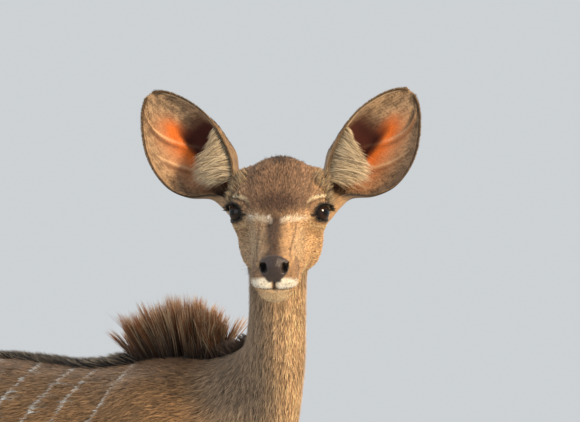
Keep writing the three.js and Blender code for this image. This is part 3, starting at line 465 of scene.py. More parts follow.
stripe_places = [-88, -168, -226, -312, -392, -468, -542, -608]


def stripes(x, y, z):
    total = np.zeros_like(x)
    for i, at in enumerate(stripe_places):
        wander = 4.5 * np.sin(z / 52 + i * 1.9) + 1.2 * np.sin(z / 15 + i * 2.7)
        below = np.maximum(1110 - z, 0)
        slant = 0.46 * np.minimum(below, 150) + 0.08 * np.maximum(below - 150, 0)
        line = np.abs(x - at - wander + slant)
        broken = 0.9 + 0.1 * np.sin(z / 26 + i * 4.1) * np.sin(z / 9 + i)
        low_end = 745 + 35 * math.sin(i * 2.1) + 95 * (i > 5)
        reach = soft_step(low_end, low_end + 55, z) * soft_step(16, 30, np.abs(y))
        total = np.maximum(total, (1 - soft_step(2.8, 5.0, line)) * broken * reach)
    return total


def coat_colour(points, facing, ear=None):
    points, facing = np.asarray(points), np.asarray(facing)
    x, y, z = cow(points).T
    brindle = ripple(x, y, z, 9, 1)
    cloud = ripple(x, y, z, 140, 2)
    base = mixed("#99744d", "#7c5a3b", soft_step(1060, 1140, z) * 0.8)
    base = mixed(base, "#a18260", (1 - soft_step(690, 860, z)) * 0.8)
    base = mixed(base, "#a88862", (1 - soft_step(420, 700, z)) * 0.7)
    inner = (soft_step(0.2, 0.8, -facing[:, 1] * np.sign(y)) * spot(np.abs(y), 95, 20)
        * soft_step(430, 560, z))
    base = mixed(base, "#cbb997", inner * (1 - soft_step(700, 760, z)) * 0.8)
    pastern = (1 - soft_step(60, 80, z)) + spot(np.abs(z - 130), 16, 14) * 0.8
    base = layered(
        base,
        ("#32261d", pastern),
        ("#d7c8a8", spot(np.abs(z - 96), 9, 5) * 0.7),
        ("#1d1714", soft_step(-765, -775, x) * (1 - soft_step(860, 900, z)) * (np.abs(y) < 30)),
    )
    u, s, w = front(points)
    neck = soft_step(100, 190, x + 0.45 * (z - 1000)) * soft_step(860, 1000, z)
    # Painted light and shade: the neck is painted paler and warmer on her left side, where the key light falls,
    # and greyer on her shaded right.
    painted_sunlit_side = soft_step(-40, 45, s + 10)
    neck_base = mixed("#9a8268", "#cda77b", painted_sunlit_side * 0.85)
    base = base * (1 - neck[:, None]) + neck_base * neck[:, None]
    on_trunk = soft_step(120, 90, x) * soft_step(700, 760, z)
    base = mixed(base, "#ece8dd", stripes(x, y, z) * on_trunk * 0.95)
    ridge = spot(np.abs(y), 10 + 5 * cloud, 6) * soft_step(150, 110, x) * soft_step(1040, 1080, z)
    base = mixed(base, "#2a1f17", ridge * 0.85)
    streak = ripple(x * 0.14, y, z, 8, 3) * (1 - neck) + ripple(x, y, z * 0.07, 4.5, 4) * neck
    base = base * (1 + 0.08 * brindle + 0.07 * cloud + (0.2 + 0.12 * neck) * streak)[:, None]

    on_head = head_share(points)
    a, t, b = face(points)
    m = np.abs(t)
    # Painted shade: the face is painted greyer towards her right side, away from the key light.
    look = mixed("#b58e64", "#93806a", soft_step(10, -50, t) * 0.55)
    look = layered(
        look,
        ("#84664d", soft_step(-6, 12, w) * spot(m, 60, 16)),
        ("#473227", spot(np.hypot(t / 44, (w - 12) / 24), 0.8, 0.5) * 0.85),
        ("#765a44", spot(np.hypot(t / 60, (w - 60) / 30), 0.8, 0.4) * 0.5),
    )
    bridge = spot(m, 16 + 3 * ripple(u, s, w, 40, 8), 8) * soft_step(2, -14, w) * (b > -5)
    # Painted light: the dark bridge is painted less dark on her left half, where the key light falls.
    look = mixed(look, "#3d2c23", bridge * (0.92 - 0.3 * soft_step(0, 14, t)))
    look = mixed(look, "#b39a7a", spot(np.hypot((m - 36) / 12, (w + 52) / 34), 0.8, 0.4) * 0.4)
    fold_at = cheek_fold_at(w, t)
    # Painted shade: a darker line along the crease of the fold beside the nose.
    fold = spot(np.abs(m - fold_at), 1.6, 1.4) * soft_step(-8, -24, w) * soft_step(-92, -70, w) * (b > 0)
    look = mixed(look, "#5f4936", fold * 0.65)
    chevron = (spot(np.abs(w - (-13 + 0.1 * (m - 8)) - 2.2 * brindle), 4.2, 3.2) * soft_step(4, 9, m)
        * soft_step(54, 38, m))
    look = mixed(look, "#d9c8b2", chevron * (0.66 + 0.3 * ripple(u, s, w, 5, 9)) * (u > 10))
    look = mixed(look, "#2f231b", spot(np.hypot(t / 20, (w - 84) / 9), 0.7, 0.5) * 0.75)
    # Painted shade: dark wavy bands at the ear roots, as shade between folds of skin.
    painted_root_fold_shade = (spot(np.hypot((m - 74) / 15, (w - 30) / 34), 0.8, 0.35)
        * (0.5 + 0.5 * np.sin(m * 1.3 + w * 0.16)))
    look = mixed(look, "#3d3027", painted_root_fold_shade * 0.7)
    look = look * (1 + 0.2 * brindle + 0.12 * ripple(u, s, w * 0.5, 5, 10))[:, None]
    for name in sides:
        level, rise, out = eye_ways(name)
        rel = (points - eye_place(name)) * 1000
        ex, ey, far = rel @ level, rel @ rise, np.linalg.norm(rel, axis=1)
        r = np.hypot(ex / eyes["wide"], ey / eyes["tall"]) + 0.05 * brindle
        near = (rel @ out > 0) * spot(far, 44, 6)
        look = layered(
            look,
            ("#e3cfa8", near * spot(np.abs(r - 2.08), 0.12, 0.14) * soft_step(2, 9, ey) * 0.85),
            # Painted shade: a dark ring in the crease of the upper lid fold.
            ("#4a3526", near * spot(np.abs(r - 1.76), 0.08, 0.08) * soft_step(2, 7, ey) * 0.8),
            ("#cdb086", near * spot(np.abs(r - 1.85), 0.2, 0.2) * soft_step(-2, -9, ey) * 0.55),
            ("#150f0c", near * (1 - soft_step(1.26, 1.5, r))),
            ("#17100d", near * spot(np.hypot((ex * -sides[name] - 31) / 9, (ey + 4) / 3), 0.9, 0.4) * 0.85),
        )
    line = mouth_height(a, t, b)
    lower = soft_step(98, 116, a) * (1 - soft_step(-3, 1, line))
    look = mixed(look, "#dab68d", lower * soft_step(34, 16, m))
    look = mixed(look, "#cdb58c", soft_step(60, 100, a) * (1 - soft_step(-52, -40, b)) * (1 - lower) * 0.7)
    lip = lip_pads(a, t, b)
    look = mixed(look, "#6b5240", soft_step(128, 142, a) * (line > 12) * (b < 8) * 0.6)
    look = mixed(look, "#ebe3d0", lip * 0.95)
    whisker_spots = np.sin(a / 1.3) * np.sin(t / 1.5) * np.sin(b / 1.4)
    look = mixed(look, "#3a2e26", lip * (whisker_spots > 0.62) * 0.6)
    pad = nose_pad(a, t, b)
    look = mixed(look, "#3a302d", np.maximum(pad, spot(m, 3, 1.2) * soft_step(165, 172, a) * (line > -1)
        * (b < 0)))
    for side in sides.values():
        inside = np.sqrt(((a - 178) / 16) ** 2 + ((t - 17.5 * side) / 8) ** 2 + ((b - 10.5) / 8.6) ** 2)
        # Painted highlight: a paler ring on the wet nostril rims.
        look = mixed(look, "#6b5f5b", spot(np.abs(inside - 1.16), 0.05, 0.1) * pad * 0.6)
        # Painted shade: the nostril hollows are painted near black.
        look = mixed(look, "#060505", (1 - soft_step(0.86, 1.04, inside)) * 0.96)
    # Painted shade: a dark line along the groove of the mouth.
    look = mixed(look, "#241a16", spot(np.abs(line), 1.3, 0.8) * soft_step(104, 118, a))
    base = base * (1 - on_head[:, None]) + look * on_head[:, None]

    if ear is not None:
        share, angle, inside = ear.T
        grain = soft_step(-0.7, 0.7, ripple(x, y, z, 4, 7) + 0.6 * ripple(x, y, z, 19, 8))
        cup = mixed("#ab8d6c", "#574230", 0.68 * grain)
        # Painted light: the cup is painted bright orange where light shines through the thin ear, brightest
        # along its outer wall.
        cup = mixed(cup, "#bd845a", hump(angle, 0.3, 0.24) * spot(np.abs(share - 0.56), 0.22, 0.1) * 0.85)
        fold = 0.06 + 0.1 * (share - 0.5)
        wall = hump(angle - fold, 0.05, 0.17) * soft_step(0.33, 0.42, share) * soft_step(0.8, 0.66, share)
        cup = mixed(cup, "#d86c20", wall * 1.15)
        # Painted shade: the sunken hollow past the fold is painted dark red-brown.
        past_fold = soft_step(fold + 0.05, fold - 0.02, angle)
        deep = (past_fold * soft_step(-0.62, -0.42, angle) * soft_step(0.24, 0.34, share)
            * soft_step(0.71, 0.6, share))
        cup = mixed(cup, mixed("#8c4a1f", "#4b1c10", soft_step(0.42, 0.55, share)), deep)
        # Painted shade: the bottom of the cup, towards the stem, is painted near black.
        cup = mixed(cup, "#24130d", soft_step(0.36, 0.24, share) * 0.85)
        # Painted highlight and shade: each crease is painted pale on one side and dark on the other.
        for at, where, width, reach in ear_creases:
            line = share - at - (angle - where) * 0.4
            near = hump(angle, where, reach)
            cup = mixed(cup, "#e0bd92", near * hump(line, width * 0.9, 0.011) * 0.6)
            cup = mixed(cup, "#6b3d22", near * hump(line, -width * 0.9, 0.011) * 0.6)
        shaded_rim = soft_step(0.5, 0.8, angle) * soft_step(0.56, 0.4, share)
        cup = mixed(cup, "#453629", shaded_rim * (0.35 + 0.5 * grain))
        cup = mixed(cup, "#dcc49b", soft_step(-0.84, -0.92, angle) * soft_step(0.45, 0.6, share) * 0.75)
        back = mixed("#957753", "#5a432e", 0.5 * grain)
        back = mixed(back, "#241a14", soft_step(0.9, 0.98, angle) * 0.9)
        cup = mixed(cup, "#241a14", soft_step(0.955, 0.985, np.abs(angle)) * 0.85)
        both = np.where(inside[:, None] > 0.5, cup, back)
        far_out = soft_step(0.21, 0.27, share)[:, None]
        base = both * far_out + base * (1 - far_out)
    return np.clip(base, 0, 1)


def ear_look_up(points):
    """For each point: the ear's share, angle and inside flag, and whether it lies on an ear at all."""
    reach = 0.0022
    facts = np.zeros((len(points), 3))
    found = np.zeros(len(points), bool)
    for places, known in ear_facts:
        tree = kdtree.KDTree(len(places))
        for i, p in enumerate(places):
            tree.insert(p, i)
        tree.balance()
        low, high = places.min(0) - 0.002, places.max(0) + 0.002
        for i in np.nonzero(np.all((points > low) & (points < high), axis=1))[0]:
            _, j, distance = tree.find(points[i])
            if distance < reach:
                facts[i], found[i] = known[j], True
    return facts, found


def paint(o, name, values):
    layer = o.data.attributes.new(name, "FLOAT_COLOR", "POINT")
    layer.data.foreach_set("color", np.concatenate([values, np.ones((len(values), 1))], 1).astype(
        np.float32).ravel())


co, facing = corners(hide), normals(hide)
ear_at, on_ear = ear_look_up(co)
colours = coat_colour(co, facing)
colours[on_ear] = coat_colour(co[on_ear], facing[on_ear], ear_at[on_ear])
paint(hide, "coat", colours)
a, t, b = face(co)
wet = nose_pad(a, t, b) * head_share(co)
for name in sides:
    rel = (co - eye_place(name)) * 1000
    level, rise, out = eye_ways(name)
    r = np.hypot(rel @ level / eyes["wide"], rel @ rise / eyes["tall"])
    wet = np.maximum(wet, (np.linalg.norm(rel, axis=1) < 30) * (1 - soft_step(1.1, 1.4, r)))
paint(hide, "wet", np.stack([wet, wet, wet], 1))


def node(material, kind, links=None, **settings):
    made = material.node_tree.nodes.new(kind)
    inputs = settings.pop("inputs", {})
    for key, value in settings.items():
        setattr(made, key, value)
    for key, value in inputs.items():
        made.inputs[key].default_value = value
    for key, source in (links or {}).items():
        material.node_tree.links.new(source, made.inputs[key])
    return made


def fresh(name):
    material = bpy.data.materials.new(name)
    material.use_nodes = True
    material.node_tree.nodes.clear()
    return material


def finished(material, inputs, links=None):
    """Ends a material with one Principled surface, joined to its output."""
    surface = node(material, "ShaderNodeBsdfPrincipled", links, inputs=inputs)
    out = node(material, "ShaderNodeOutputMaterial")
    material.node_tree.links.new(surface.outputs[0], out.inputs["Surface"])
    return material


# Short-haired skin: greasy keratin hairs a few millimetres long, too fine to draw one by one.
# The eye sees a soft, slightly sheeny brown that is broken into dark and pale flecks about 1.5 mm across.
short_hair = fresh("short_haired_hide")
tint = node(short_hair, "ShaderNodeAttribute", attribute_name="coat")
wetness = node(short_hair, "ShaderNodeAttribute", attribute_name="wet")
where = node(short_hair, "ShaderNodeTexCoord")
flecks = node(short_hair, "ShaderNodeTexNoise", {"Vector": where.outputs["Object"]},
    inputs={"Scale": 420.0, "Detail": 4.0, "Roughness": 0.65})
clumps = node(short_hair, "ShaderNodeTexNoise", {"Vector": where.outputs["Object"]},
    inputs={"Scale": 70.0, "Detail": 3.0})
fleck_ramp = node(short_hair, "ShaderNodeMapRange", {"Value": flecks.outputs[0]},
    inputs={"From Min": 0.3, "From Max": 0.7, "To Min": 0.72, "To Max": 1.22})
clump_ramp = node(short_hair, "ShaderNodeMapRange", {"Value": clumps.outputs[0]},
    inputs={"From Min": 0.3, "From Max": 0.7, "To Min": 0.9, "To Max": 1.1})
both = node(short_hair, "ShaderNodeMath", {0: fleck_ramp.outputs[0], 1: clump_ramp.outputs[0]},
    operation="MULTIPLY")
shade = node(short_hair, "ShaderNodeVectorMath", {0: tint.outputs["Color"], "Scale": both.outputs[0]},
    operation="SCALE")
dull = node(short_hair, "ShaderNodeMapRange", {"Value": wetness.outputs["Fac"]},
    inputs={"To Min": 0.78, "To Max": 0.27})
pores = node(short_hair, "ShaderNodeTexVoronoi", {"Vector": where.outputs["Object"]},
    inputs={"Scale": 520.0})
relief = node(short_hair, "ShaderNodeMix", {"Factor": wetness.outputs["Fac"], "A": flecks.outputs[0],
    "B": pores.outputs["Distance"]})
bump = node(short_hair, "ShaderNodeBump", {"Height": relief.outputs[0]},
    inputs={"Strength": 0.45, "Distance": 0.0012})
finished(
    short_hair,
    {"Specular IOR Level": 0.35, "Sheen Weight": 0.15, "Sheen Roughness": 0.5},
    {"Base Color": shade.outputs[0], "Roughness": dull.outputs[0], "Normal": bump.outputs[0]},
)
hide.data.materials.clear()
hide.data.materials.append(short_hair)

# Coat: flat blades of hair rooted in the hide, laid along it from muzzle to rump and down the legs.
# Each blade stands for a lock of a few hairs, a millimetre wide, darker at its root and paler at its tip.
draw = np.random.default_rng(20)
hide.data.calc_loop_triangles()
tri = np.empty(len(hide.data.loop_triangles) * 3, dtype=np.int64)
hide.data.loop_triangles.foreach_get("vertices", tri)
tri = tri.reshape(-1, 3)
hide_co, hide_facing = corners(hide), normals(hide)
tri_area = np.linalg.norm(
    np.cross(hide_co[tri[:, 1]] - hide_co[tri[:, 0]], hide_co[tri[:, 2]] - hide_co[tri[:, 0]]), axis=1
) * 0.5e6
tri_middle = hide_co[tri].mean(1)
tri_ear = on_ear[tri].all(1)
tri_head = head_share(tri_middle)


def unit(ways):
    return ways / np.linalg.norm(ways, axis=1, keepdims=True)


def plain(hexcode, count):
    return np.tile(linear(hexcode), (count, 1))


def laid_along(ways, facing):
    """The ways with what points along facing taken out, one long each."""
    return unit(ways - facing * (ways * facing).sum(1, keepdims=True))


def scattered(chosen, spacing):
    """Roots on the chosen triangles of the hide, one to about every spacing square millimetres."""
    ids = np.nonzero(chosen)[0]
    weight = tri_area[ids] / (spacing[ids] if np.ndim(spacing) else spacing)
    count = draw.poisson(weight)
    ids = np.repeat(ids, count)
    p, q = draw.random((2, len(ids)))
    flip = p + q > 1
    p[flip], q[flip] = 1 - p[flip], 1 - q[flip]
    share = np.stack([1 - p - q, p, q], 1)[..., None]
    return ids, (hide_co[tri[ids]] * share).sum(1), (hide_facing[tri[ids]] * share).sum(1)


def lie(points, facing):
    """Which way the coat runs: back from the muzzle, along the trunk and down the neck and legs."""
    x, y, z = cow(points).T
    u, s, w = front(points)
    a, t, b = face(points)
    n = len(x)
    way = np.tile([-1.0, 0.0, -0.45], (n, 1))
    rear = soft_step(-560, -700, x)[:, None]
    way = way * (1 - rear) + np.array([-0.35, 0, -1.0]) * rear
    leg = (1 - soft_step(640, 760, z))[:, None]
    way = way * (1 - leg) + np.array([-0.1, 0, -1.0]) * leg
    neck = (soft_step(110, 200, x + 0.45 * (z - 1000)) * soft_step(900, 1010, z))[:, None]
    way = way * (1 - neck) + np.array([-0.3, 0.22, -1.0]) * neck
    on = head_share(points)[:, None]
    cheek = -muzzle_way * 0.85 - up * 0.35
    crown = (up * soft_step(-30, 30, w)[:, None] * 0.9 - muzzle_way * 0.45 + look_left
        * np.clip(t / 45, -1, 1)[:, None] * 0.75)
    top = (soft_step(-8, 12, w) * spot(np.abs(t), 62, 10))[:, None]
    head_way = cheek * (1 - top) + crown * top
    way = way * (1 - on) + head_way * on
    way = way - facing * (way * facing).sum(1, keepdims=True)
    return way / np.maximum(np.linalg.norm(way, axis=1, keepdims=True), 1e-6)


def hair_piece(name, co, faces, tints, unwrap, patch):
    """One mesh of many like hairs. Each hair's patch of OFBake lies at its root's place, unwrap."""
    mesh = bpy.data.meshes.new(name)
    mesh.vertices.add(co.size // 3)
    mesh.vertices.foreach_set("co", co.ravel())
    mesh.loops.add(len(faces) * 3)
    mesh.loops.foreach_set("vertex_index", faces.ravel().astype(np.int32))
    mesh.polygons.add(len(faces))
    mesh.polygons.foreach_set("loop_start", np.arange(len(faces), dtype=np.int32) * 3)
    mesh.update(calc_edges=True)
    o = bpy.data.objects.new(name, mesh)
    bpy.context.scene.collection.objects.link(o)
    paint(o, "coat", tints)
    uv = (unwrap[:, None, :] * 0.99 + patch).reshape(-1, 2)
    layer = mesh.uv_layers.new(name="OFBake")
    layer.data.foreach_set("uv", uv[faces.ravel()].astype(np.float32).ravel())
    mesh.shade_smooth()
    mesh.materials.append(hair_finish)
    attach(o, "root")
    return o


def blades(name, roots, facing, way, length, width, root_tint, tip_tint, lift, unwrap):
    """Flat tapered blades, three triangles each. length and width in millimetres."""
    n = len(roots)
    facing = facing / np.maximum(np.linalg.norm(facing, axis=1, keepdims=True), 1e-9)
    breadth = np.cross(way, facing)
    breadth /= np.maximum(np.linalg.norm(breadth, axis=1, keepdims=True), 1e-9)
    length, width = (np.broadcast_to(v, (n,))[:, None] / 1000 for v in (length, width))
    lift = np.broadcast_to(lift, (n,))[:, None]
    sunk = 0.0006
    start = roots - facing * sunk
    middle = roots + way * length * 0.5 + facing * length * lift * 0.75
    tip = roots + way * length + facing * length * lift
    co = np.stack([start - breadth * width / 2, start + breadth * width / 2, middle - breadth * width
        * 0.4, middle + breadth * width * 0.4, tip], 1)
    base = np.arange(n)[:, None] * 5
    faces = np.concatenate([base + [0, 1, 3], base + [0, 3, 2], base + [2, 3, 4]], 1).reshape(-1, 3)
    mid_tint = root_tint * 0.45 + tip_tint * 0.55
    tints = np.stack([root_tint, root_tint, mid_tint, mid_tint, tip_tint], 1).reshape(-1, 3)
    patch = np.array([[0, 0], [0.003, 0], [0, 0.0015], [0.003, 0.0015], [0.0015, 0.003]])
    return hair_piece(name, co, faces, tints, unwrap, patch)


# Hair keratin: matte, with a soft gleam along its length.
# The eye sees it hair by hair, so the colour comes from each blade's own attribute.
hair_finish = fresh("hair_keratin")
hair_tint = node(hair_finish, "ShaderNodeAttribute", attribute_name="coat")
finished(
    hair_finish,
    {"Roughness": 0.62, "Specular IOR Level": 0.3, "Sheen Weight": 0.1},
    {"Base Color": hair_tint.outputs["Color"]},
)


def unrolled(points, start, axis, low, high):
    """The hide's place unrolled round an axis through start: turn across, distance along up."""
    axis = axis / np.linalg.norm(axis)
    side = np.cross(axis, up if abs(axis[2]) < 0.9 else X)
    side /= np.linalg.norm(side)
    rel = cow(points) - start
    turn = np.arctan2(rel @ np.cross(axis, side), rel @ side) / (2 * math.pi) + 0.5
    return np.stack([turn, np.clip((rel @ axis - low) / (high - low), 0, 1)], 1)


def coat_piece(name, chosen, spacing, length, width, unwrap, lift=0.22, vary=0.3, root_shade=0.55,
    tip_light=1.38):
    ids, roots, facing = scattered(chosen, spacing)
    n = len(ids)
    way = laid_along(lie(roots, facing) + draw.normal(0, 0.16, (n, 3)), facing)
    tint = coat_colour(roots, facing) * np.clip(1 + draw.normal(0, vary, (n, 1)), 0.35, 1.8)
    long = (length[ids] if np.ndim(length) else length) * draw.uniform(0.7, 1.25, n)
    long = long * (1 - 0.45 * stripes(*cow(roots).T))
    wide = (width[ids] if np.ndim(width) else width) * draw.uniform(0.75, 1.2, n)
    blades(name, roots, facing, way, long, wide, np.clip(tint * root_shade, 0, 1),
        np.clip(tint * tip_light, 0, 1), lift * draw.uniform(0.5, 1.4, n), unwrap(roots))


def trunk_roll(points):
    return unrolled(points, np.array([-300.0, 0, 900]), X, -520, 560)


def neck_roll(points):
    return unrolled(points, np.array([190.0, -20, 1050]), np.array([0.35, -0.3, 1.0]), -160, 460)


def face_roll(points):
    return unrolled(points, eye_middle_cow + brow_way * -20, muzzle_way, -130, 200)


tx, ty, tz = cow(tri_middle).T
tu, _, tw = front(tri_middle)
ta, tt, tb = face(tri_middle)
body = (tri_head < 0.5) & ~tri_ear
is_neck = body & (tx + 0.45 * (tz - 1000) > 155) & (tz > 930)
is_leg = body & (tz < 660)
is_trunk = body & ~is_neck & ~is_leg
full = 1.0
for part, where in (("right", ty < 0), ("left", ty >= 0)):
    coat_piece("coat_ribs_" + part, is_trunk & where & (tx > -330), 10 * full, 17.0, 1.5, trunk_roll)
    coat_piece("coat_rump_" + part, is_trunk & where & (tx <= -330), 12 * full, 17.0, 1.7, trunk_roll)
coat_piece("coat_neck", is_neck, 5.2 * full, 15.0, 0.95, neck_roll, 0.22, 0.38, 0.48, 1.42)


def leg_unwrap(points):
    x, y, z = cow(points).T
    quarter = (x > -300).astype(float) * 0.5
    half = (y > 0).astype(float) * 0.5
    middle_x = np.where(x > -300, 35, -700)
    turn = np.arctan2(y - np.sign(y) * 92, x - middle_x) / (2 * math.pi) + 0.5
    return np.stack([quarter + turn * 0.48, half + np.clip(z / 700, 0, 1) * 0.48], 1)


leg_length = 4 + 6 * soft_step(150, 620, tz)
coat_piece("coat_legs", is_leg, (10 + 8 * soft_step(300, 660, tz)) * full, leg_length, 1.2, leg_unwrap,
    0.16)

on_face_area = (tri_head >= 0.5) & ~tri_ear
near_eye = np.min([np.linalg.norm(tri_middle - eye_place(n), axis=1) for n in sides], axis=0) * 1000
muzzle_bare = (ta > 149) & (tb > -13) & (tb < 30) & (np.abs(tt) < 24)
lip_line = np.abs(mouth_height(ta, tt, tb)) < 1.6
bald = muzzle_bare | (lip_line & (ta > 104)) | (near_eye < 24.5)
face_hair = (np.clip(2.6 + 5.2 * soft_step(120, -10, ta), 2.4, 8)
    * (0.55 + 0.45 * soft_step(24, 48, near_eye)))
coat_piece("coat_face", on_face_area & ~bald, (2.4 + 1.2 * soft_step(60, -60, ta)) * full, face_hair, 0.7
    + 0.3 * soft_step(120, -20, ta), face_roll, 0.3, 0.46, 0.42, 1.5)

# Manes: coarse hair, dark at the root, standing along the neck, over the withers and down the spine.
# Each hair here is a closed, three-sided, tapered lock of a few real hairs, rooted in a line found on the hide.
neck_line = np.array([
    [301, -95, 1392, 39],
    [294, -88, 1345, 40],
    [281, -74, 1285, 42],
    [262, -54, 1215, 46],
    [243, -38, 1155, 54],
], dtype=float)
top_rows = [[*cow(on_face(-78, 0, 20)), *(-0.8 * look_ahead + up)]]
for i in range(len(neck_line)):
    before, after = neck_line[max(i - 1, 0)][:3], neck_line[min(i + 1, len(neck_line) - 1)][:3]
    turn = math.radians(neck_line[i][3])
    rise = np.cross((before - after) / np.linalg.norm(before - after), [math.cos(turn), math.sin(turn), 0])
    top_rows.append([*neck_line[i][:3], *rise])
top_rows += [[192, -12, 1075, -0.5, 0.03, 0.87], [140, -3, 1040, -0.28, 0, 0.96], [85, 0, 1040, -0.1, 0, 1]]
top_rows += [[25 - 60 * i, 0, 1000, 0, 0, 1] for i in range(13)]
hide_tree = BVHTree.FromPolygons([tuple(p) for p in hide_co], [tuple(map(int, t)) for t in tri])
top_at, top_up = [], []
for row in threaded(np.array(top_rows, dtype=float), 6):
    way = Vector(row[3:]).normalized()
    hit = None
    start, far = Vector(place(row[:3])), 0.0
    while True:
        found = hide_tree.ray_cast(start + way * far, way, 0.26 - far)
        if found[0] is None:
            break
        hit = found[0]
        far = (hit - start).length + 0.0004
    if hit is not None:
        top_at.append(np.array(hit))
        top_up.append(np.array(way))
top_at, top_up = np.array(top_at), np.array(top_up)
top_run = np.concatenate([[0], np.cumsum(np.linalg.norm(np.diff(top_at, axis=0), axis=1))]) * 1000


def on_top(run):
    at = np.stack([np.interp(run, top_run, top_at[:, k]) for k in range(3)], -1)
    rise = np.stack([np.interp(run, top_run, top_up[:, k]) for k in range(3)], -1)
    back = np.stack([np.interp(run + 6, top_run, top_at[:, k]) - np.interp(run - 6, top_run, top_at[:, k])
        for k in range(3)], -1)
    back = unit(back)
    rise = laid_along(rise, back)
    return at, rise, back, np.cross(rise, back)


def run_at(x):
    return float(top_run[np.nonzero((cow(top_at)[:, 0] <= x) & (top_run > 330))[0][0]])


def strands(name, roots, way, bend, length, width, root_tint, tip_tint, unwrap,
    shares=(0, 0.4, 0.75)):
    """Closed, tapered, three-sided locks, in metres. bend is how far each tip lies off the straight."""
    n = len(roots)
    length, width = np.broadcast_to(length, (n,))[:, None], np.broadcast_to(width, (n,))[:, None]
    way = unit(way)
    flat = unit(np.cross(way, draw.normal(size=(n, 3))))
    deep = np.cross(way, flat)
    rings, tints = [], []
    for t in shares:
        middle = roots + way * length * t + bend * t * t
        wide = width * (0.55 - 0.3 * t)
        for c, s in ((1, 0), (-0.6, 0.5), (-0.6, -0.5)):
            rings.append(middle + flat * wide * c + deep * wide * s)
            tints.append(root_tint * (1 - t**1.6) + tip_tint * t**1.6)
    rings.append(roots + way * length + bend)
    tints.append(tip_tint)
    co, colour = np.stack(rings, 1), np.stack(tints, 1)
    many = len(rings)
    shape = [(0, 2, 1)]
    for r in range(len(shares) - 1):
        for k in range(3):
            a, b = 3 * r + k, 3 * r + (k + 1) % 3
            shape += [(a, b, b + 3), (a, b + 3, a + 3)]
    last = 3 * (len(shares) - 1)
    shape += [(last + k, last + (k + 1) % 3, many - 1) for k in range(3)]
    faces = (np.arange(n)[:, None, None] * many + np.array(shape)[None]).reshape(-1, 3)
    patch = np.stack([np.tile([0, 0.0015, 0.003], many)[:many], np.linspace(0, 0.003, many)], 1)
    return hair_piece(name, co, faces, np.clip(colour.reshape(-1, 3), 0, 1), unwrap, patch)


def mane(name, start, end, heights, leans, half, count, splay, width, tints, node_name, locks,
    pale_share=0.16):
    """Hairs gathered into locks that lean together and part from their neighbours."""
    lock = draw.integers(0, locks, count)
    lock_share = (draw.permutation(locks) + draw.random(locks)) / locks
    lock_across = draw.normal(0, 0.5, locks).clip(-1, 1)
    lock_turn = draw.normal(0, 1, (locks, 3))
    lock_high = draw.uniform(0.84, 1.04, locks)
    share = np.clip(lock_share[lock] + draw.normal(0, 3.2, count) / (end - start), 0, 1)
    run = start + (end - start) * share
    at, rise, back, side = on_top(run)
    across = (lock_across[lock] + draw.normal(0, 0.16, count)).clip(-1, 1)
    steps = np.linspace(0, 1, len(heights))
    height = np.interp(share, steps, heights) * lock_high[lock] * draw.uniform(0.6, 1.0, count) ** 0.6
    gather = (lock_share[lock] - share) * (end - start) / np.maximum(height, 12)
    lean = (np.radians(np.interp(share, steps, leans) + 7.5 * lock_turn[lock, 0]
        + draw.normal(0, 2.2, count)) + 0.7 * gather)
    swing = np.radians(across * splay + 6 * lock_turn[lock, 1] + draw.normal(0, 2.6, count))
    way = (rise * (np.cos(lean) * np.cos(swing))[:, None] + back * np.sin(lean)[:, None] + side
        * np.sin(swing)[:, None])
    roots = at + (side * (across * half)[:, None] - rise * (3 + 0.3 * half * across[:, None] ** 2)) / 1000
    length = (height / np.maximum(0.5, np.cos(lean)) + 3) / 1000
    curl = back * (0.03 + 0.08 * lock_turn[lock, 2:3]) + side * draw.normal(0, 0.05, (count, 1))
    bend = curl * length[:, None]
    dark, tip, pale = (linear(t) for t in tints)
    tone = draw.random((count, 1))
    root_tint = dark * (0.7 + 0.6 * tone)
    tip_tint = mixed(tip, dark, draw.random(count) * 0.5)
    tip_tint = mixed(tip_tint, pale, (draw.random(count) < pale_share) * 0.8) * (0.75 + 0.5 * tone)
    unwrap = np.stack([0.5 + 0.45 * across, run / top_run[-1]], 1)
    made = strands(name, roots, way, bend, length, width * draw.uniform(0.6, 1.2, count) / 1000, root_tint,
        tip_tint, unwrap)
    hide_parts(node_name)


share_of_hair = 1.0
withers, mid_back, rump_end = run_at(92), run_at(-92), run_at(-670)
mane(
    "nape_hair", 10, withers + 4, [16, 28, 34, 36, 34, 28, 26, 34], [40, 55, 58, 55, 50, 42, 25, 0], 9,
    int(4400 * share_of_hair), 20, 1.4, ("#33261c", "#6d4f38", "#b08a62"), "mane_nape", 520,
)
mane(
    "withers_hair", withers, mid_back + 4, [60, 90, 106, 112, 113, 111, 106, 93, 66],
    [-11, -9, -6, -2, 3, 8, 15, 23, 31], 14,
    int(5600 * share_of_hair), 13, 1.75, ("#1c130d", "#bb753d", "#e8c9a0"), "mane_withers", 110, 0.42,
)
mane(
    "spine_hair", mid_back - 12, rump_end, [34, 25, 21, 20, 19, 19, 17, 13],
        [48, 56, 58, 58, 58, 58, 60, 62], 11,
    int(7600 * share_of_hair), 22, 1.3, ("#120d0a", "#281c14", "#d6bd98"), "crest_back", 1500, 0.24,
)

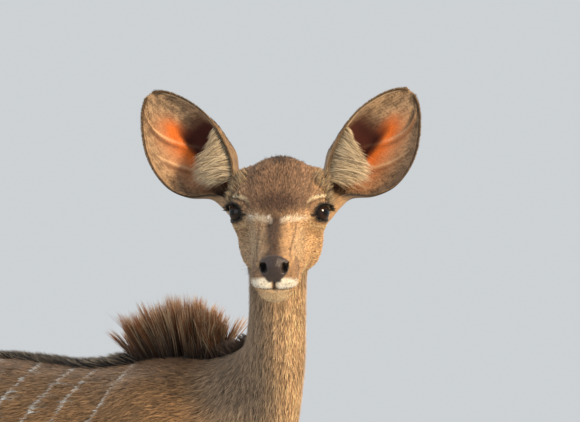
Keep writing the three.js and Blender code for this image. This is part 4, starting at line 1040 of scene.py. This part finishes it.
# Tail hair: a narrow brush, dark above, white below and black at its tip.
# Its locks are rooted in the skin of the tail and hang no lower than the tail's own solid.
tail_chosen = body & (tx < -805) & (tz < 1010)
ids, roots, facing = scattered(tail_chosen, 26 * (1 if share_of_hair == 1 else 3))
n = len(ids)
x, y, z = cow(roots).T
tip_share = soft_step(900, 790, z)
way = np.tile([-0.05, 0.0, -1.0], (n, 1)) + facing * 0.18 + draw.normal(0, 0.08, (n, 3))
tint = mixed("#5d4530", "#d9d2c4", soft_step(-0.1, 0.35, facing[:, 0]))
tint = mixed(tint, "#191310", soft_step(885, 850, z))
tint = tint * draw.uniform(0.8, 1.15, (n, 1))
unwrap = unrolled(roots, np.array([-760.0, 0, 900]), -up, -150, 220)
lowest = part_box("tail")[0].z
length = (np.minimum(0.018 + 0.03 * tip_share, np.maximum(roots[:, 2] - lowest, 0.004))
    * draw.uniform(0.6, 1, n))
strands("tail_hair", roots - facing * 0.001, way, np.zeros((n, 3)), length, 0.0016, tint * 0.7, tint,
    unwrap)

# Ear hair: a fine fringe along both rims, and short fur on the back and in the cup.
# Long pale hairs cross the cup from its inner rim, rooted in the skin there, and keep dust and flies out.
for name, side in sides.items():
    along_ear, out, inner = ear_ways(name)
    count = int(3400 * share_of_hair)
    share = 0.26 + 0.72 * draw.random(count) ** 0.8
    rim = np.where(draw.random(count) < 0.5, -1.0, 1.0)
    angle = rim * draw.uniform(0.955, 1.0, count)
    at, near = ear_point(name, share, angle), ear_point(name, share, angle * 0.9)
    outward = unit(at - near)
    way = along_ear * 0.9 + outward * 0.45 + draw.normal(0, 0.16, (count, 3))
    length = draw.uniform(2.2, 5.2, count) * soft_step(1.02, 0.9, share) / 1000 + 0.0008
    tint = mixed("#3a2a1f", "#a8875f", draw.random(count))
    unwrap = np.stack([share, 0.5 + 0.45 * angle], 1)
    strands("ear_fringe_" + name, place(at), way, np.zeros((count, 3)), length, 0.0008, tint * 0.7, tint,
        unwrap, (0, 0.6))
    count = int(3200 * share_of_hair)
    share = 0.27 + 0.29 * draw.random(count) ** 1.1
    angle = -draw.uniform(0.5, 0.965, count)
    at = ear_point(name, share, angle, -1.5)
    lower = soft_step(0.56, 0.3, share)[:, None]
    tuft = np.sin(share * 170 + 3 * angle)[:, None] * 0.1
    rooted_deep = soft_step(-0.85, -0.6, angle)[:, None]
    way = (-inner * (1.0 - 0.1 * lower) + out * (0.12 + 0.5 * rooted_deep) + along_ear
        * (0.1 + 0.5 * lower + tuft))
    way += draw.normal(0, 0.09, (count, 3))
    length = (np.interp(share, [0.27, 0.33, 0.45, 0.51, 0.56], [52, 94, 84, 42, 12])
        * draw.uniform(0.35, 1, count) / 1000)
    bend = (-out * 0.16 - along_ear * 0.2) * length[:, None]
    tint = mixed("#f0ddba", "#7a5c3f", soft_step(0.45, 1, draw.random(count)) * 0.9)
    unwrap = np.stack([share, 0.5 + 0.45 * angle], 1)
    strands("ear_hair_" + name, place(at), way, bend, length, 0.001, tint * 0.75, tint, unwrap)
    count = int(9000 * share_of_hair)
    share, angle = draw.uniform(0.24, 0.985, count), draw.uniform(-0.97, 0.97, count)
    for face_name, lift, sign in (("back", ear_wall / 2, 1), ("cup", -ear_wall / 2, -1)):
        at = ear_point(name, share, angle, lift)
        normal = (ear_point(name, share, angle, lift + 1) - at) * sign
        way = laid_along(along_ear + draw.normal(0, 0.2, (count, 3)), normal)
        facts = np.stack([share, angle, np.full(count, float(sign < 0))], 1)
        tint = coat_colour(place(at), normal, facts) * draw.uniform(0.8, 1.2, (count, 1))
        long = (5.5 if sign > 0 else 3.2) * draw.uniform(0.6, 1.2, count)
        unwrap = np.stack([share, 0.5 + 0.45 * angle], 1)
        blades(f"ear_{face_name}_{name}", place(at), normal, way, long, 0.9, tint * 0.7,
            np.clip(tint * 1.25, 0, 1), 0.14, unwrap)

# Crown: a short dark whorl of hair on top of the head, between the ears.
# Its roots are found by looking straight down on the hide.
count = int(2200 * share_of_hair)
crown = place(eye_middle_cow + np.outer(draw.uniform(-62, -24, count), look_ahead)
    + np.outer(draw.normal(0, 11, count), look_left) + up * 110)
kept, hair_ways = [], []
for p in crown:
    hit, normal, _, _ = hide_tree.ray_cast(Vector(p), Vector((0, 0, -1)), 0.09)
    if hit is not None:
        kept.append(hit)
        hair_ways.append(normal)
kept, hair_ways = np.array(kept), np.array(hair_ways)
count = len(kept)
_, s, w = front(kept)
way = hair_ways * 0.3 - look_ahead * 0.6 + look_left * (s / 20)[:, None] + draw.normal(0, 0.25, (count, 3))
tint = mixed("#33261c", "#7a5c41", draw.random(count) * 0.8)
length = draw.uniform(6, 12, count) / 1000
strands("crown_hair", kept - hair_ways * 0.001, way, np.zeros((count, 3)), length, 0.0011, tint * 0.6,
    tint, face_roll(kept))

# Ear roots: loose pale hair that stands in front of each ear's stem.
# It is longer and softer than the face coat, and is rooted in the hide there.
for name, side in sides.items():
    ids, roots, facing = scattered(on_face_area & (tt * side > 52) & (tw > -6) & (tw < 62) & (tu < 8)
        & (tu > -70), 6.5 / share_of_hair)
    n = len(roots)
    way = (facing * 0.45 + look_left * side * 0.5 + up * 0.75 + look_ahead * 0.15
        + draw.normal(0, 0.16, (n, 3)))
    length = draw.uniform(8, 21, n) / 1000
    tint = mixed("#cdb48e", "#4d3c2e", soft_step(0.3, 0.9, draw.random(n)))
    strands("ear_root_hair_" + name, roots - facing * 0.001, way, (up * 0.1 - look_ahead * 0.1)
        * length[:, None], length, 0.0009, tint * 0.65, tint, face_roll(roots))

# Eyes: wet dark balls deep under the brow, a black pupil in a dark brown iris, with heavy black lashes above.
# Each ball lies in its socket with the cornea raised on it, and the lashes are rooted in the upper lid's rim.
# A tear film covers it, so the eye sees a clear, sharp gleam; lash keratin is black and only faintly glossy.
eye_gloss = fresh("wet_eye")
eye_tint = node(eye_gloss, "ShaderNodeAttribute", attribute_name="coat")
finished(eye_gloss, {"Roughness": 0.03, "IOR": 1.34}, {"Base Color": eye_tint.outputs["Color"]})
lash_black = fresh("lash_keratin")
finished(lash_black, {"Base Color": (*linear("#15100d"), 1), "Roughness": 0.4})
for name, side in sides.items():
    at, (level, rise, out) = eye_place(name), eye_ways(name)
    eye = ball("eyeball_" + name, at, eyes["radius"] - 0.0002, 64, 48, (level, rise, out))
    co = corners(eye)
    rel = (co - at) * 1000
    ex, ey, ez = rel @ level, rel @ rise, rel @ out
    r = np.hypot(ex, ey) / 14.5
    tint = mixed("#2a1a12", "#120b08", soft_step(0.75, 1, r))
    tint = mixed(tint, "#050404", spot(np.hypot(ex / 8.5, ey / 5.5), 1, 0.12))
    tint[ez < 0] = linear("#1a1310")
    paint(eye, "coat", tint)
    cornea = 1.2 * hump(r, 0, 0.75) * (ez > 0)
    move_corners(eye, co + out * cornea[:, None] / 1000)
    pick(eye)
    bpy.ops.object.shade_smooth()
    eye.data.materials.append(eye_gloss)
    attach(eye, "root")
    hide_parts("eye_" + name)
    count = 150
    t = np.radians(draw.uniform(18, 162, count))
    ex, ey = eyes["wide"] * np.cos(t) * 0.93, eyes["tall"] * np.sin(t) ** 1.35 * 0.98
    ez = np.sqrt(np.maximum(23.2**2 - ex**2 - ey**2, 9))
    roots = at + (np.outer(ex, level) + np.outer(ey, rise) + np.outer(ez, out)) / 1000
    way = out * 0.95 + rise * 0.1 + np.outer(ex / 34, level) + draw.normal(0, 0.1, (count, 3))
    length = draw.uniform(7, 13, count) / 1000
    bend = (rise * 0.1 - up * 0.22) * length[:, None]
    lashes = strands("lashes_" + name, roots, way, bend, length, 0.0008, plain("#120d0b", count),
        plain("#1d1512", count), np.stack([t / 3.2, t * 0 + 0.5], 1))
    lashes.data.materials[0] = lash_black

# Whiskers: long, thin, stiff hairs that feel, on the lips and chin.
# They are rooted in the face's hide, each a single dark hair.
count = 130
ids, roots, facing = scattered(on_face_area & (ta > 96) & (tb < 14) & ~muzzle_bare, 26)
kept = draw.permutation(len(ids))[:count]
roots, facing = roots[kept], facing[kept]
n = len(roots)
way = facing * 0.8 + muzzle_way * 0.25 - up * 0.35 + draw.normal(0, 0.25, (n, 3))
length = draw.uniform(7, 20, n) / 1000
whisker = plain("#2a211b", n)
strands("whiskers", roots, way, -up * length[:, None] * 0.15, length, 0.00035, whisker, whisker,
    face_roll(roots))

# Hooves: two horn claws each, worn flat where they stand on the ground.
# Hoof horn is near-black and dull; the eye sees fine growth rings in it and paler, dusty scuffs.
horn_voxel = 0.0014
claw_horn = fresh("hoof_horn")
place_in = node(claw_horn, "ShaderNodeTexCoord")
rings_of_horn = node(claw_horn, "ShaderNodeTexWave", {"Vector": place_in.outputs["Object"]},
    bands_direction="Z", inputs={"Scale": 38.0, "Distortion": 2.5, "Detail": 3.0, "Detail Scale": 6.0})
scuffs = node(claw_horn, "ShaderNodeTexNoise", {"Vector": place_in.outputs["Object"]},
    inputs={"Scale": 60.0, "Detail": 6.0})
horn_tint = node(claw_horn, "ShaderNodeValToRGB", {"Fac": scuffs.outputs[0]})
horn_tint.color_ramp.elements[0].color = (*linear("#15110e"), 1)
horn_tint.color_ramp.elements[1].color = (*linear("#3d332a"), 1)
horn_relief = node(claw_horn, "ShaderNodeBump", {"Height": rings_of_horn.outputs[0]},
    inputs={"Strength": 0.25, "Distance": 0.0008})
finished(claw_horn, {"Roughness": 0.42}, {"Base Color": horn_tint.outputs[0],
    "Normal": horn_relief.outputs[0]})
for leg in ("foreleg", "hindleg"):
    for side in sides:
        for claw in ("inner", "outer"):
            node_name = f"hoof_{leg}_{side}_{claw}"
            hoof = merged_copy("horn_" + node_name[5:], [node_name])
            hoof.data.remesh_voxel_size = horn_voxel
            pick(hoof)
            bpy.ops.object.voxel_remesh()
            modify(hoof, "SMOOTH", factor=0.5, iterations=7)
            bpy.ops.object.shade_smooth()
            co = corners(hoof)
            co[:, 2] = np.maximum(co[:, 2], 0)
            move_corners(hoof, co)
            hoof.data.materials.clear()
            hoof.data.materials.append(claw_horn)
            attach(hoof, "root")
            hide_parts(node_name)

# Floor and light: a plain pale floor, a bluish grey surround, and warm light from the viewer's right.
# The floor is a matte painted board, and the lamps stand round the head.
deselect()
bpy.ops.mesh.primitive_circle_add(vertices=96, radius=7, fill_type="NGON", location=(0, 0, 0))
floor = bpy.context.object
floor.name = "floor"
floor_paint = fresh("pale_floor")
finished(floor_paint, {"Base Color": (*linear("#b9b8b4"), 1), "Roughness": 0.9})
floor.data.materials.append(floor_paint)
bpy.context.scene.world = bpy.context.scene.world or bpy.data.worlds.new("World")
world = bpy.context.scene.world
world.use_nodes = True
sky_strength = 1.05
world.node_tree.nodes["Background"].inputs["Color"].default_value = (*linear("#c9cdd0"), 1)
world.node_tree.nodes["Background"].inputs["Strength"].default_value = sky_strength
view_way = np.array([0.669, -0.743, 0.0])
view_right = np.array([0.743, 0.669, 0.0])
bpy.context.scene.view_settings.view_transform = "Standard"
head_at = place(eye_middle_cow)
lamps = (
    ("key", "SUN", view_right * 0.72 + view_way * 0.64 + up * 0.36, math.radians(15), 4.6, "#ffe4bf"),
    ("fill", "AREA", view_way * 2.4 - view_right * 2.6 + up * 0.6, 2.0, 16, "#e4eeff"),
    ("rim", "AREA", up * 2.0 - view_right - view_way * 2.6, 1.2, 45, "#fff0dc"),
)
for name, kind, offset, size, strength, tint in lamps:
    lamp = bpy.data.lights.new(name, kind)
    lamp.energy, lamp.color = strength, tuple(linear(tint))
    if kind == "SUN":
        lamp.angle = size
    else:
        lamp.size = size
    holder = bpy.data.objects.new(name, lamp)
    bpy.context.scene.collection.objects.link(holder)
    holder.location = head_at + offset
    holder.rotation_euler = Vector(-offset - up * 0.15 * (kind == "AREA")).to_track_quat("-Z",
        "Y").to_euler()

# Camera: level with the eyes and 13 m off, as through a long lens.
# It stands in front of her and to her right, where her face looks.
distance, sensor, focal_length = 13, 36, 489
lens = bpy.data.cameras.new("camera")
lens.sensor_width, lens.lens = sensor, focal_length
camera = bpy.data.objects.new("camera", lens)
bpy.context.scene.collection.objects.link(camera)
aim = head_at + view_right * 0.0176 + up * 0.002
camera.location = aim + view_way * distance
camera.rotation_euler = Vector(-view_way).to_track_quat("-Z", "Y").to_euler()
lens.clip_end = 60
bpy.context.scene.camera = camera
